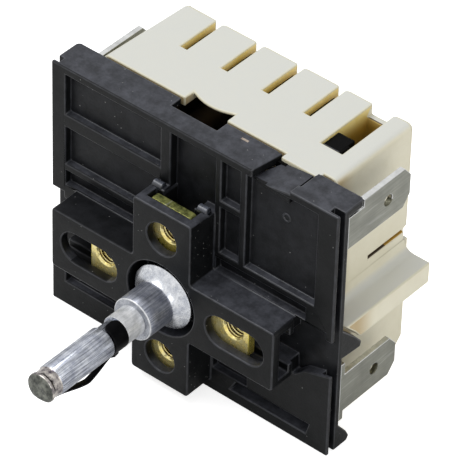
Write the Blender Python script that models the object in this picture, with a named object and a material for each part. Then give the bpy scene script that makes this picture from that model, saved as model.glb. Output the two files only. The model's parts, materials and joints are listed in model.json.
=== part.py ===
"""An infinite switch for an electric cooktop: a moulded front cover with a cross-shaped boss,
an ivory rear body, blade terminals, and the cam, lever, bimetal and contact blades inside.

Lengths are in metres. X points right, Y to the rear and Z up, seen from the front. The origin
is where the shaft's axis meets the front face of the boss, so the shaft reaches out along -Y.
"""

import math

import bmesh
import bpy
from mathutils import Matrix, Vector

# Fits
CLEAR = 0.0003  # between a piece and its seat, on each side
RUN = 0.0003  # between a turning or sliding piece and its bearing

# Front cover: a plate with a raised cross, pockets and two open side grooves
COVER_WIDTH = 0.0480
MIDDLE_X = 0.0008  # the housing's middle lies this far right of the shaft
COVER_TOP = 0.0245
COVER_BOTTOM = -0.0160
BOSS_HEIGHT = 0.00475  # from the border's face to the boss's face
COVER_PLATE = 0.00235
PANEL_DEPTH = 0.00115
CHANNEL_DEPTH = 0.00145
TOP_WALL = 0.0012
TOP_WALL_REACH = 0.0030
SKIN = 0.00055  # front skin ahead of the side grooves
GROOVE_WIDTH = 0.0009
GROOVE_DEPTH_RIGHT = 0.0017
GROOVE_DEPTH_LEFT = 0.0009
BORDER_LEFT = 0.0024
BORDER_RIGHT = 0.0033
BORDER_TOP = 0.0012
BORDER_BOTTOM = 0.0040
RIB = 0.0011
RIB_UPPER = 0.0168  # top of the upper left rib
RIB_UPPER_HEIGHT = 0.0021
RIB_LOWER = 0.0085
COLUMN_LEFT = -0.00445
CHANNEL_LEFT = -0.0027
CHANNEL_RIGHT = 0.0048
COLUMN_RIGHT = 0.0058
PANEL_LEFT = 0.0100
RAMP_BEFORE_WINDOW = 0.0028  # ramp's left end, left of the latch window
RAMP_WIDTH = 0.00605
RAMP_DROP = 0.0016
RAMP_DROP_RIGHT = 0.00045
VENT_LEFT = -0.0055
VENT_RIGHT = 0.00215
VENT_FRONT = 0.0010  # wall left ahead of the vent, behind the plate
SIDE_NOTCH = 0.00355
SIDE_NOTCH_DEPTH = 0.0021
SLIT_LEFT = 0.0088
SLIT_INSET = 0.0032  # from the cover's right side
SLIT_SLANT = 0.0005
SLIT_FLOOR = 0.0006
SLIT_LOW = -0.0141
SLIT_HEIGHT = 0.0018
LUG_WIDTH = 0.0012
LUG_MIDDLE_REACH = 0.0040
LUG_FOOT_REACH = 0.0023
LATCH_WIDTH = 0.0027
LATCH_THICK = 0.0012
LATCH_LENGTH = 0.0108
LATCH_HOOK = 0.0015
LATCH_HOOK_LENGTH = 0.0029
LATCH_SHOULDER = 0.0007
LATCH_GAP = 0.0005  # from the body's inner face
LATCH_LOW_LEFT = -0.0080

# Boss: four arms with a captive nut plate in each
ARM_HALF = 0.0049
ARM_INSET = 0.0050  # the side arms end this far inside half the cover's width
ARM_CORNER = 0.0005
ARM_UP = 0.0147
ARM_DOWN = 0.01445
BORE_RADIUS = 0.0057
BORE_DEPTH = 0.0040
SCREW_RADIUS = 0.0025
SCREW_UP = 0.01005
SCREW_SIDE = 0.0110
OBLONG_START = 0.0076  # near end of a side arm's screw slot, from the axis
OBLONG_MARGIN = 0.0016  # left between the slot and the arm's end
NUT_WIDTH = 0.00686
NUT_LENGTH = 0.0070
NUT_THICK = 0.0013
NUT_FRONT = 0.00175
COLLAR_OUTER = 0.00195
COLLAR_BORE = 0.00145
COLLAR_ENTRY = 0.00170  # the bore's rounded mouth
COLLAR_RISE = 0.0011
NUT_INNER_END = 0.0066  # plate's near end, from the axis

# Rear body
SIDE_STEP = 0.004675  # how far the cover stands past the body on the right
LEFT_STEP = 0.0039  # and on the left, at the front
LEFT_DRAFT = 0.0009  # the left wall leans inwards by this much at the rear
BODY_DEPTH = 0.0187
BODY_WALL = 0.0015
LEFT_WALL = 0.002275  # the left wall at the front
BODY_EDGE = 0.0010
REAR_CUT_HEIGHT = 0.0044  # slope along the lower rear edge
REAR_CUT_DEPTH = 0.0039
REAR_CUT_INSIDE = 0.0013  # the slope inside starts this far nearer the middle
LIP_THICK = 0.00045  # lip of the top wall at the vent
LIP_REACH = 0.0016
LIP_SAG = 0.0009
LIP_DEPTH = 0.0018
SLOT_TO_WINDOW = 0.00498  # last slot's middle to the window's left edge
SLOT_INSET = 0.0071  # first slot's middle, from the body's left side
SLOT_WIDTH = 0.0011
SLOT_COUNT = 4
SLOT_LENGTH = 0.0078
SLOT_DROP = 0.0032
WINDOW_INSET = 0.006525  # window's left edge, from the body's right side
WINDOW_WIDTH = 0.0035
WINDOW_LENGTH = 0.0096
WINDOW_LINTEL = 0.0017
GUIDE_THICK = 0.0010  # wall inside, beside the latch
GUIDE_DROP = 0.0044
SIDE_SLIT_LOW = 0.0070
SIDE_SLIT_HEIGHT = 0.0005
SIDE_SLIT_LENGTH = 0.0084
SHELF_LOW = 0.0005
SHELF_THICK = 0.0034
SHELF_REACH = 0.0043
SHELF_REACH_LEFT = 0.0035
BARRIER_LOW = 0.0122
BARRIER_THICK = 0.0012

# Terminals: quick-connect blades 6.35 mm wide, each with a foot behind the cover
BLADE_WIDTH = 0.00635
STRIP = 0.0008
BLADE_INSET_RIGHT = 0.0003
BLADE_INSET_LEFT = 0.0003
BLADE_HOLE = 0.00082
BLADE_CLIP = 0.00135
HOLE_FROM_END = 0.0045
UPPER_RIGHT_LOW = 0.01755
UPPER_RIGHT_END = 0.0199
LOWER_RIGHT_LOW = -0.0104
LOWER_RIGHT_END = 0.0189
UPPER_LEFT_LOW = 0.0144
UPPER_LEFT_END = 0.0230
PILOT_LOW = 0.0048
PILOT_END = 0.0189
LOWER_LEFT_LOW = -0.0101
LOWER_LEFT_END = 0.0189

# Shaft, collar and clip
SHAFT_RADIUS = 0.0022
SHAFT_TIP = -0.0236
TAIL_MARGIN = 0.0016  # the tail stops this far inside the rear face when pushed
FLAT_HEIGHT = 0.00155  # from the axis to the flat
FLAT_TURN = 180.0  # degrees that the knob's flat is turned from straight up
PUSH = 0.0020  # the shaft's travel when it is pressed in
CLIP_FRONT = -0.0112
CLIP_REAR = -0.00865
CLIP_WALL = 0.00035
CLIP_NECK = 0.0016  # the shaft's radius under the clip
CLIP_FROM = -5.0  # the clip grips from here, in degrees from the top towards the right
CLIP_TO = 225.0
LEAF_THICK = 0.0003
LEAF_BOW = 0.0019
LEAF_BOW_AT = 0.38
LEAF_TIP = 0.0018  # from the shaft's tip
LEAF_WIDTH = 0.0016
SHAFT_COLLAR_FRONT = -0.0069
SHAFT_COLLAR_RADIUS = 0.00315
FLARE_START = -0.0015
FLARE_REAR = 0.0010
FLARE_RADIUS = 0.0048
COLLAR_LINE = 0.0016  # fine groove, from the collar's front
WALL_CORNER = 0.0004  # clipped corner of the cover's top wall

# Cam: one linear rise over its working turn, then a quick drop
CAM_LOW = 0.0056
CAM_RISE = 0.0020
CAM_TURN = 300.0
CAM_FRONT = 0.0084
CAM_THICK = 0.0030
HUB_RADIUS = 0.0033
HUB_FRONT = 0.0042
HUB_REAR = 0.0140
SHOULDER_RADIUS = 0.0046

# Return spring and ring behind the cam
RING_THICK = 0.0006
RING_RADIUS = 0.0039
SPRING_RADIUS = 0.0032
SPRING_WIRE = 0.00035
SPRING_LENGTH = 0.0046
SPRING_TURNS = 3.0
TAIL_BOSS_RADIUS = 0.0042

# Follower lever with its bimetal strip and heater
PIVOT_INSET = 0.004525  # from the inner face of the left wall
PIVOT_Z = 0.0090
PIN_RADIUS = 0.0008
LEVER_HUB = 0.0020
LEVER_THICK = 0.0018
LEVER_REACH = 0.0020
NUB_RADIUS = 0.0010
LEVER_REAR = 0.0170
PAD_HALF = 0.0021
BIMETAL_THICK = 0.0006
BIMETAL_WIDTH = 0.0040
BIMETAL_TIP = 0.0020
HEATER_FROM_PAD = 0.0019
HEATER_FROM_TIP = 0.0035
HEATER_WALL = 0.0008
HEATER_RIDGES = 6

# Contact blades
SPRING_STRIP = 0.0004
MAIN_Z = 0.0156
MAIN_CONTACT_INSET = 0.008825  # from the inner face of the right wall
MAIN_BACK = 0.0160
LINE_Z = -0.0100
LINE_CONTACT_INSET = 0.006625
LINE_GAP = 0.0013
CONTACT_RADIUS = 0.0014
CONTACT_THICK = 0.0006
RIVET_SHANK = 0.0006
BLADE_ROOT_INSET = 0.001525  # from the inner face of the left wall
ROOT_RIVET_INSET = 0.0019  # from the blade's root end
BUTTON_RADIUS = 0.0012

# Places that follow from the sizes above
COVER_LEFT = MIDDLE_X - COVER_WIDTH / 2
COVER_RIGHT = MIDDLE_X + COVER_WIDTH / 2
ARM_SIDE = COVER_WIDTH / 2 - ARM_INSET
OBLONG_CENTRE = (OBLONG_START + ARM_SIDE - OBLONG_MARGIN) / 2
OBLONG_REACH = (ARM_SIDE - OBLONG_MARGIN - OBLONG_START) / 2
SLIT_RIGHT = COVER_RIGHT - SLIT_INSET
BORDER_Y = BOSS_HEIGHT
PANEL_Y = BORDER_Y + PANEL_DEPTH
CHANNEL_Y = BORDER_Y + CHANNEL_DEPTH
PLATE_Y = BORDER_Y + COVER_PLATE
WALL_Y = PLATE_Y + TOP_WALL_REACH
WALL_Z = COVER_TOP - TOP_WALL
BODY_LEFT = COVER_LEFT + LEFT_STEP
BODY_RIGHT = COVER_RIGHT - SIDE_STEP
BODY_FRONT = PLATE_Y + CLEAR
BODY_REAR = BODY_FRONT + BODY_DEPTH
INSIDE_REAR = BODY_REAR - BODY_WALL
INSIDE_LEFT = BODY_LEFT + LEFT_WALL
INSIDE_RIGHT = BODY_RIGHT - BODY_WALL
WINDOW_LEFT = BODY_RIGHT - WINDOW_INSET
LATCH_LEFT = WINDOW_LEFT + CLEAR
RAMP_LEFT = WINDOW_LEFT - RAMP_BEFORE_WINDOW
RAMP_RIGHT = RAMP_LEFT + RAMP_WIDTH
SLOT_FIRST = BODY_LEFT + SLOT_INSET
SLOT_PITCH = (WINDOW_LEFT - SLOT_TO_WINDOW - SLOT_FIRST) / (SLOT_COUNT - 1)
PIVOT_X = INSIDE_LEFT + PIVOT_INSET
BLADE_ROOT = INSIDE_LEFT + BLADE_ROOT_INSET
ROOT_RIVET_X = BLADE_ROOT + ROOT_RIVET_INSET
MAIN_CONTACT_X = INSIDE_RIGHT - MAIN_CONTACT_INSET
LINE_CONTACT_X = INSIDE_RIGHT - LINE_CONTACT_INSET
HEATER_LEFT = PIVOT_X + PAD_HALF + HEATER_FROM_PAD
HEATER_LENGTH = BIMETAL_TIP - HEATER_FROM_TIP - HEATER_LEFT
SHAFT_TAIL = BODY_REAR - PUSH - TAIL_MARGIN
INSIDE_TOP = COVER_TOP - BODY_WALL
INSIDE_BOTTOM = COVER_BOTTOM + BODY_WALL
FOOT_REAR = BODY_FRONT + STRIP
BLADE_RIGHT = COVER_RIGHT - BLADE_INSET_RIGHT
BLADE_LEFT = COVER_LEFT + BLADE_INSET_LEFT
CAM_HIGH = CAM_LOW + CAM_RISE
CAM_REAR = CAM_FRONT + CAM_THICK
RING_FRONT = HUB_REAR + CLEAR
RING_REAR = RING_FRONT + RING_THICK
SPRING_FRONT = RING_REAR + CLEAR
SPRING_REAR = SPRING_FRONT + SPRING_LENGTH
TAIL_BOSS_Y = SPRING_REAR + CLEAR
NECK_RADIUS = SHAFT_RADIUS - CLEAR
NUT_POCKET_Y = NUT_FRONT - CLEAR
NUT_POCKET_REAR = NUT_FRONT + NUT_THICK + CLEAR
NUT_POCKET_HALF = NUT_WIDTH / 2 + CLEAR
NUT_POCKET_START = NUT_INNER_END - CLEAR
NUT_LEDGE = COLLAR_OUTER + 0.00055
LATCH_TOP = INSIDE_TOP - LATCH_GAP
LATCH_LOW = INSIDE_BOTTOM + LATCH_GAP
LATCH_REAR = PLATE_Y + LATCH_LENGTH
PAD_TOP = PIVOT_Z + LEVER_HUB + 0.0002
PAD_FRONT = CAM_REAR + 0.0011
BIMETAL_Z = PAD_TOP + CLEAR
BIMETAL_FRONT = PAD_FRONT + CLEAR
BIMETAL_REAR = BIMETAL_FRONT + BIMETAL_WIDTH
NUB_Z = CAM_LOW + RUN + NUB_RADIUS
CONTACT_Y = (BIMETAL_FRONT + BIMETAL_REAR) / 2 - 0.0008
UPPER_ARM_Z = MAIN_Z + SPRING_STRIP + 3 * CLEAR + 2 * CONTACT_THICK
LOWER_FIXED_TOP = LINE_Z - CLEAR - CONTACT_THICK - LINE_GAP
LOWER_ARM_TOP = LOWER_FIXED_TOP - CONTACT_THICK - CLEAR
CUT = 0.0010  # how far a cutter runs past the face that it opens
LAP = 0.0005  # how far a shape reaches into the one that it joins


def placed(axis, u, v, w):
    """The point with u and v across the axis and w along it."""
    return {"X": (w, u, v), "Y": (u, w, v), "Z": (u, v, w)}[axis]


def made(name, bm):
    """An object from a bmesh with its faces turned outwards."""
    bmesh.ops.recalc_face_normals(bm, faces=bm.faces)
    mesh = bpy.data.meshes.new(name)
    bm.to_mesh(mesh)
    bm.free()
    obj = bpy.data.objects.new(name, mesh)
    bpy.context.scene.collection.objects.link(obj)
    return obj


def prism(outline, axis, start, end, name="tool"):
    """An outline carried straight along an axis: (x, z) along Y, (y, z) along X, (x, y) along Z."""
    bm = bmesh.new()
    face = bm.faces.new([bm.verts.new(placed(axis, u, v, start)) for u, v in outline])
    grown = bmesh.ops.extrude_face_region(bm, geom=[face])["geom"]
    verts = [item for item in grown if isinstance(item, bmesh.types.BMVert)]
    bmesh.ops.translate(bm, verts=verts, vec=placed(axis, 0, 0, end - start))
    return made(name, bm)


def block(x0, x1, y0, y1, z0, z1, name="tool"):
    """A plain box between the given faces."""
    return prism([(x0, z0), (x1, z0), (x1, z1), (x0, z1)], "Y", y0, y1, name)


def turned(profile, axis, centre, steps=32, name="tool", ring=False):
    """A profile of (place along the axis, radius) turned about it; a ring's profile is closed."""
    bm = bmesh.new()
    rows = []
    for along, radius in profile:
        angles = [2 * math.pi * k / steps for k in range(steps)]
        rows.append(
            [
                bm.verts.new(
                    placed(
                        axis,
                        centre[0] + radius * math.sin(a),
                        centre[1] + radius * math.cos(a),
                        along,
                    )
                )
                for a in angles
            ]
        )
    pairs = list(zip(rows, rows[1:]))
    if ring:
        pairs.append((rows[-1], rows[0]))
    else:
        bm.faces.new(rows[0])
        bm.faces.new(rows[-1])
    for one, two in pairs:
        for k in range(steps):
            j = (k + 1) % steps
            bm.faces.new([one[k], one[j], two[j], two[k]])
    return made(name, bm)


def rod(axis, centre, radius, start, end, steps=24, name="tool"):
    """A straight cylinder."""
    return turned([(start, radius), (end, radius)], axis, centre, steps, name)


def stadium(axis, centre, reach, radius, start, end, steps=16):
    """A slot shape: two half circles joined by straight sides, long across the first direction."""
    outline = []
    for side in (1, -1):
        for k in range(steps + 1):
            a = math.pi * (k / steps - 0.5) + (0 if side == 1 else math.pi)
            outline.append(
                (
                    centre[0] + side * (reach - radius) + radius * math.cos(a),
                    centre[1] + radius * math.sin(a),
                )
            )
    return prism(outline, axis, start, end)


def rounded(outline, radius, steps=4):
    """An outline with each corner rounded, inner corners too."""
    points = []
    count = len(outline)
    for k in range(count):
        before, here, after = (Vector(outline[(k + i) % count]) for i in (-1, 0, 1))
        first, second = before - here, after - here
        reach = min(radius, first.length / 2.01, second.length / 2.01)
        start = here + first.normalized() * reach
        end = here + second.normalized() * reach
        for i in range(steps + 1):
            t = i / steps
            point = start * (1 - t) ** 2 + here * (2 * t * (1 - t)) + end * t**2
            points.append((point.x, point.y))
    return points


def settled(obj):
    """The object's mesh with its modifiers worked in."""
    bpy.context.view_layer.update()
    shaped = obj.evaluated_get(bpy.context.evaluated_depsgraph_get())
    mesh = bpy.data.meshes.new_from_object(shaped)
    obj.modifiers.clear()
    old = obj.data
    obj.data = mesh
    bpy.data.meshes.remove(old)
    return obj


def combined(base, tools, operation):
    """The base with each tool joined to it or cut from it."""
    for tool in tools:
        change = base.modifiers.new("Shape", "BOOLEAN")
        change.operation = operation
        change.object = tool
    settled(base)
    for tool in tools:
        mesh = tool.data
        bpy.data.objects.remove(tool)
        bpy.data.meshes.remove(mesh)
    return base


def joined(base, *tools):
    return combined(base, tools, "UNION")


def cut(base, *tools):
    return combined(base, tools, "DIFFERENCE")


def linear(code):
    """A hex colour as linear red, green and blue."""
    parts = [int(code[i : i + 2], 16) / 255 for i in (1, 3, 5)]
    return [p / 12.92 if p <= 0.04045 else ((p + 0.055) / 1.055) ** 2.4 for p in parts]


def finish(name, code, roughness, metallic=0.0):
    """A Principled material."""
    material = bpy.data.materials.new(name)
    material.use_nodes = True
    shader = material.node_tree.nodes["Principled BSDF"]
    shader.inputs["Base Color"].default_value = (*linear(code), 1)
    shader.inputs["Roughness"].default_value = roughness
    shader.inputs["Metallic"].default_value = metallic
    material.diffuse_color = (*linear(code), 1)
    return material


def pivot(name, place, parent=None):
    """An empty on a joint's axis."""
    empty = bpy.data.objects.new(name, None)
    empty.empty_display_size = 0.003
    bpy.context.scene.collection.objects.link(empty)
    empty.parent = parent
    empty.location = place
    return empty


def finished(obj, name, material, carrier=None, at=(0, 0, 0), smooth=True):
    """Names the piece, gives it its material and hangs it on its joint's empty."""
    obj.name = name
    obj.data.name = name
    obj.data.materials.clear()
    obj.data.materials.append(material)
    if smooth:
        obj.data.shade_smooth()
        obj.data.set_sharp_from_angle(angle=math.radians(35))
    if carrier is not None:
        obj.data.transform(Matrix.Translation(-Vector(at)))
        obj.parent = carrier
    return obj


def arm_box(direction, start, end, half, y0, y1):
    """A box along one arm of the boss: from start to end outwards and half wide to each side."""
    if direction == "up":
        return block(-half, half, y0, y1, start, end)
    if direction == "down":
        return block(-half, half, y0, y1, -end, -start)
    if direction == "right":
        return block(start, end, y0, y1, -half, half)
    return block(-end, -start, y0, y1, -half, half)


def gusset(points, x0, x1):
    """A flat lug in the side plane, set behind the cover's plate."""
    return prism(points, "X", x0, x1)


def front_cover():
    """The black moulding: plate, cross boss, pockets, grooves, top wall, latches and lugs."""
    cover = block(COVER_LEFT, COVER_RIGHT, BORDER_Y, PLATE_Y, COVER_BOTTOM, COVER_TOP)
    h = ARM_HALF
    cross = [
        (-h, ARM_UP), (-h, h), (-ARM_SIDE, h), (-ARM_SIDE, -h), (-h, -h), (-h, -ARM_DOWN),
        (h, -ARM_DOWN), (h, -h), (ARM_SIDE, -h), (ARM_SIDE, h), (h, h), (h, ARM_UP),
    ]
    boss = prism(rounded(cross, ARM_CORNER, 3), "Y", 0, BORDER_Y + LAP)
    corner = WALL_CORNER
    wall = [
        (COVER_LEFT, PLATE_Y - LAP), (COVER_RIGHT, PLATE_Y - LAP),
        (COVER_RIGHT, WALL_Y - corner), (COVER_RIGHT - corner, WALL_Y),
        (COVER_LEFT + corner, WALL_Y), (COVER_LEFT, WALL_Y - corner),
    ]
    parts = [boss, prism(wall, "Z", WALL_Z, COVER_TOP)]
    middle = [
        (PLATE_Y - LAP, 0.0042), (PLATE_Y, 0.0042), (PLATE_Y + 0.0027, 0.00155),
        (PLATE_Y + LUG_MIDDLE_REACH, 0.0), (PLATE_Y + LUG_MIDDLE_REACH - 0.0003, -0.0008),
        (PLATE_Y - LAP, -0.00045),
    ]
    foot = [
        (PLATE_Y - LAP, COVER_BOTTOM + 0.0039), (PLATE_Y, COVER_BOTTOM + 0.0039),
        (PLATE_Y + LUG_FOOT_REACH - 0.0006, COVER_BOTTOM + 0.0018),
        (PLATE_Y + LUG_FOOT_REACH, COVER_BOTTOM + 0.0007),
        (PLATE_Y + LUG_FOOT_REACH - 0.0004, COVER_BOTTOM), (PLATE_Y - LAP, COVER_BOTTOM),
    ]
    for shape in (middle, foot):
        parts.append(gusset(shape, COVER_RIGHT - LUG_WIDTH, COVER_RIGHT))
        parts.append(gusset(shape, COVER_LEFT, COVER_LEFT + LUG_WIDTH))
    hook_y = LATCH_REAR - LATCH_HOOK_LENGTH
    for left, top, way in ((LATCH_LEFT, LATCH_TOP, 1), (LATCH_LOW_LEFT, LATCH_LOW, -1)):
        low = top - way * LATCH_THICK
        tongue = [
            (PLATE_Y - LAP, low), (PLATE_Y - LAP, top), (hook_y, top),
            (hook_y, top + way * LATCH_HOOK), (LATCH_REAR - LATCH_SHOULDER, top + way * LATCH_HOOK),
            (LATCH_REAR, top + way * (LATCH_HOOK - LATCH_SHOULDER)), (LATCH_REAR, low),
        ]
        parts.append(prism(tongue, "X", left, left + LATCH_WIDTH))
    parts.append(rod("Y", (PIVOT_X, PIVOT_Z), LEVER_HUB, PLATE_Y - LAP, CAM_FRONT - RUN))
    joined(cover, *parts)

    top = COVER_TOP - BORDER_TOP
    left = COVER_LEFT + BORDER_LEFT
    right = COVER_RIGHT - BORDER_RIGHT
    front = BORDER_Y - CUT
    under = RIB_UPPER - RIB_UPPER_HEIGHT
    cuts = [
        # Side grooves between the front skin and the flange
        block(COVER_RIGHT - GROOVE_DEPTH_RIGHT, COVER_RIGHT + CUT, BORDER_Y + SKIN,
              BORDER_Y + SKIN + GROOVE_WIDTH, COVER_BOTTOM - CUT, COVER_TOP + CUT),
        block(COVER_LEFT - CUT, COVER_LEFT + GROOVE_DEPTH_LEFT, BORDER_Y + SKIN,
              BORDER_Y + SKIN + GROOVE_WIDTH, COVER_BOTTOM - CUT, COVER_TOP + CUT),
        # Upper left pockets, with the ribs left between them
        block(left, COLUMN_LEFT, front, PANEL_Y, RIB_UPPER, top),
        block(left, COLUMN_LEFT, front, PANEL_Y, RIB_LOWER, under),
        block(left, COLUMN_LEFT - 0.0008, front, PANEL_Y, ARM_HALF + 0.0001, RIB_LOWER - RIB),
        # Channel above the upper arm, and the narrow column beside it
        block(CHANNEL_LEFT, CHANNEL_RIGHT, front, CHANNEL_Y, ARM_UP - LAP, top),
        block(COLUMN_RIGHT, PANEL_LEFT - RIB, front, PANEL_Y, RIB_UPPER, top),
        block(COLUMN_RIGHT, PANEL_LEFT - RIB, front, PANEL_Y, RIB_LOWER - 0.0003, RIB_UPPER - RIB),
        # Wide panel on the right, and the strip under its rib
        block(PANEL_LEFT, right, front, PANEL_Y, RIB_LOWER - 0.0003, top),
        block(ARM_HALF + 0.0003, right - 0.0013, front, PANEL_Y, ARM_HALF + 0.0001,
              RIB_LOWER - 0.0003 - RIB),
        # Lower quadrants
        block(ARM_HALF + 0.0003, PANEL_LEFT + 0.0010, front, PANEL_Y, COVER_BOTTOM + BORDER_BOTTOM, -ARM_HALF - 0.0001),
        block(left, -ARM_HALF - 0.0003, front, PANEL_Y, COVER_BOTTOM + BORDER_BOTTOM, -ARM_HALF - 0.0001),
        # Long slit near the lower edge
        prism([(SLIT_LEFT - SLIT_SLANT, SLIT_LOW), (SLIT_RIGHT - SLIT_SLANT, SLIT_LOW),
               (SLIT_RIGHT, SLIT_LOW + SLIT_HEIGHT), (SLIT_LEFT + SLIT_SLANT, SLIT_LOW + SLIT_HEIGHT)],
              "Y", front, PLATE_Y - SLIT_FLOOR),
        # Ramp and gap in the top edge, over the upper latch
        prism([(RAMP_LEFT, COVER_TOP + CUT), (RAMP_LEFT, COVER_TOP - RAMP_DROP),
               (RAMP_LEFT + 0.0014, COVER_TOP - RAMP_DROP + 0.0003),
               (RAMP_RIGHT, COVER_TOP - RAMP_DROP_RIGHT), (RAMP_RIGHT, COVER_TOP + CUT)],
              "Y", front, WALL_Y + CUT),
        prism([(RAMP_RIGHT, COVER_TOP + CUT), (RAMP_RIGHT, WALL_Z - 0.0001),
               (RAMP_RIGHT + 0.0004, WALL_Z - 0.0001), (RAMP_RIGHT + 0.0004, COVER_TOP + CUT)],
              "Y", PLATE_Y - 0.0005, WALL_Y + CUT),
        # Vent in the top wall
        block(VENT_LEFT, VENT_RIGHT, PLATE_Y + VENT_FRONT, WALL_Y + CUT, WALL_Z - CUT, COVER_TOP + CUT),
        # Notches that the side arms open into
        block(COVER_LEFT - CUT, COVER_LEFT + SIDE_NOTCH_DEPTH, front, CHANNEL_Y, -SIDE_NOTCH, SIDE_NOTCH),
        prism([(ARM_SIDE - LAP, ARM_HALF - 0.0001), (COVER_RIGHT - 0.0012, ARM_HALF - 0.0001),
               (COVER_RIGHT - 0.0012, SIDE_NOTCH), (COVER_RIGHT + CUT, SIDE_NOTCH),
               (COVER_RIGHT + CUT, -SIDE_NOTCH + 0.0016), (ARM_SIDE + 0.0014, -SIDE_NOTCH),
               (ARM_SIDE, -ARM_HALF), (ARM_SIDE - LAP, -ARM_HALF)], "Y", BORDER_Y - LAP, CHANNEL_Y),
        # Bore for the collar, and the bearing for the cam's hub
        rod("Y", (0, 0), BORE_RADIUS, -CUT, BORE_DEPTH, 48),
        rod("Y", (0, 0), HUB_RADIUS + RUN, BORE_DEPTH - CUT, PLATE_Y + CUT, 32),
        # Seat for the lever's pin
        rod("Y", (PIVOT_X, PIVOT_Z), PIN_RADIUS + CLEAR, PANEL_Y + LAP, CAM_FRONT + CUT, 16),
        # Screw holes above and below, slots to the sides
        rod("Y", (0, SCREW_UP), SCREW_RADIUS, -CUT, NUT_POCKET_Y + CUT / 2),
        rod("Y", (0, -SCREW_UP), SCREW_RADIUS, -CUT, NUT_POCKET_Y + CUT / 2),
        stadium("Y", (OBLONG_CENTRE, 0), OBLONG_REACH, SCREW_RADIUS, -CUT, NUT_POCKET_Y + CUT / 2, 10),
        stadium("Y", (-OBLONG_CENTRE, 0), OBLONG_REACH, SCREW_RADIUS, -CUT, NUT_POCKET_Y + CUT / 2, 10),
    ]
    ends = {"up": ARM_UP, "down": ARM_DOWN, "right": ARM_SIDE, "left": ARM_SIDE}
    for way, end in ends.items():
        cuts.append(arm_box(way, NUT_POCKET_START, end + LAP, NUT_POCKET_HALF, NUT_POCKET_Y, NUT_POCKET_REAR))
        cuts.append(arm_box(way, NUT_POCKET_START + 0.0012, end + LAP, NUT_LEDGE, NUT_POCKET_REAR - LAP, CHANNEL_Y))
    edge = COVER_LEFT + SIDE_NOTCH_DEPTH
    cuts.append(block(edge - LAP, -ARM_SIDE + LAP, BORDER_Y - LAP, CHANNEL_Y, -NUT_LEDGE, NUT_LEDGE))
    return cut(cover, *cuts)


def nut_plate(way):
    """A yellow-plated plate with a tapped collar drawn out to the rear."""
    middle = SCREW_UP if way in ("up", "down") else SCREW_SIDE
    rear = NUT_FRONT + NUT_THICK
    start, end = NUT_INNER_END, NUT_INNER_END + NUT_LENGTH
    plate = arm_box(way, start, end, NUT_WIDTH / 2, NUT_FRONT, rear)
    across = {"up": (0, middle), "down": (0, -middle), "right": (middle, 0), "left": (-middle, 0)}[way]
    tip = rear + COLLAR_RISE
    collar = turned([(rear - LAP, COLLAR_OUTER), (tip - 0.0002, COLLAR_OUTER), (tip, COLLAR_OUTER - 0.0002)], "Y", across, 24)
    joined(plate, collar)
    mouth = COLLAR_ENTRY - COLLAR_BORE
    bore = turned([(NUT_FRONT - CUT, COLLAR_ENTRY + CUT), (NUT_FRONT, COLLAR_ENTRY), (NUT_FRONT + mouth, COLLAR_BORE),
                   (tip + CUT, COLLAR_BORE)], "Y", across, 24)
    return cut(plate, bore)


def shelf(left, reach_to, low, thick, fillet):
    """A barrier's outline across the side wall, with a hollow fillet above its root."""
    way = -1 if left else 1
    wall = BODY_LEFT if left else BODY_RIGHT
    inner = wall - way * (LAP + (LEFT_DRAFT if left else 0.0))
    tip = wall + way * reach_to
    points = [(inner, low), (tip, low), (tip, low + thick)]
    for k in range(5):
        a = math.pi / 2 * k / 4
        points.append((wall + way * fillet * (1 - math.sin(a)), low + thick + fillet * (1 - math.cos(a))))
    points.append((inner, low + thick + fillet))
    return points


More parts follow.
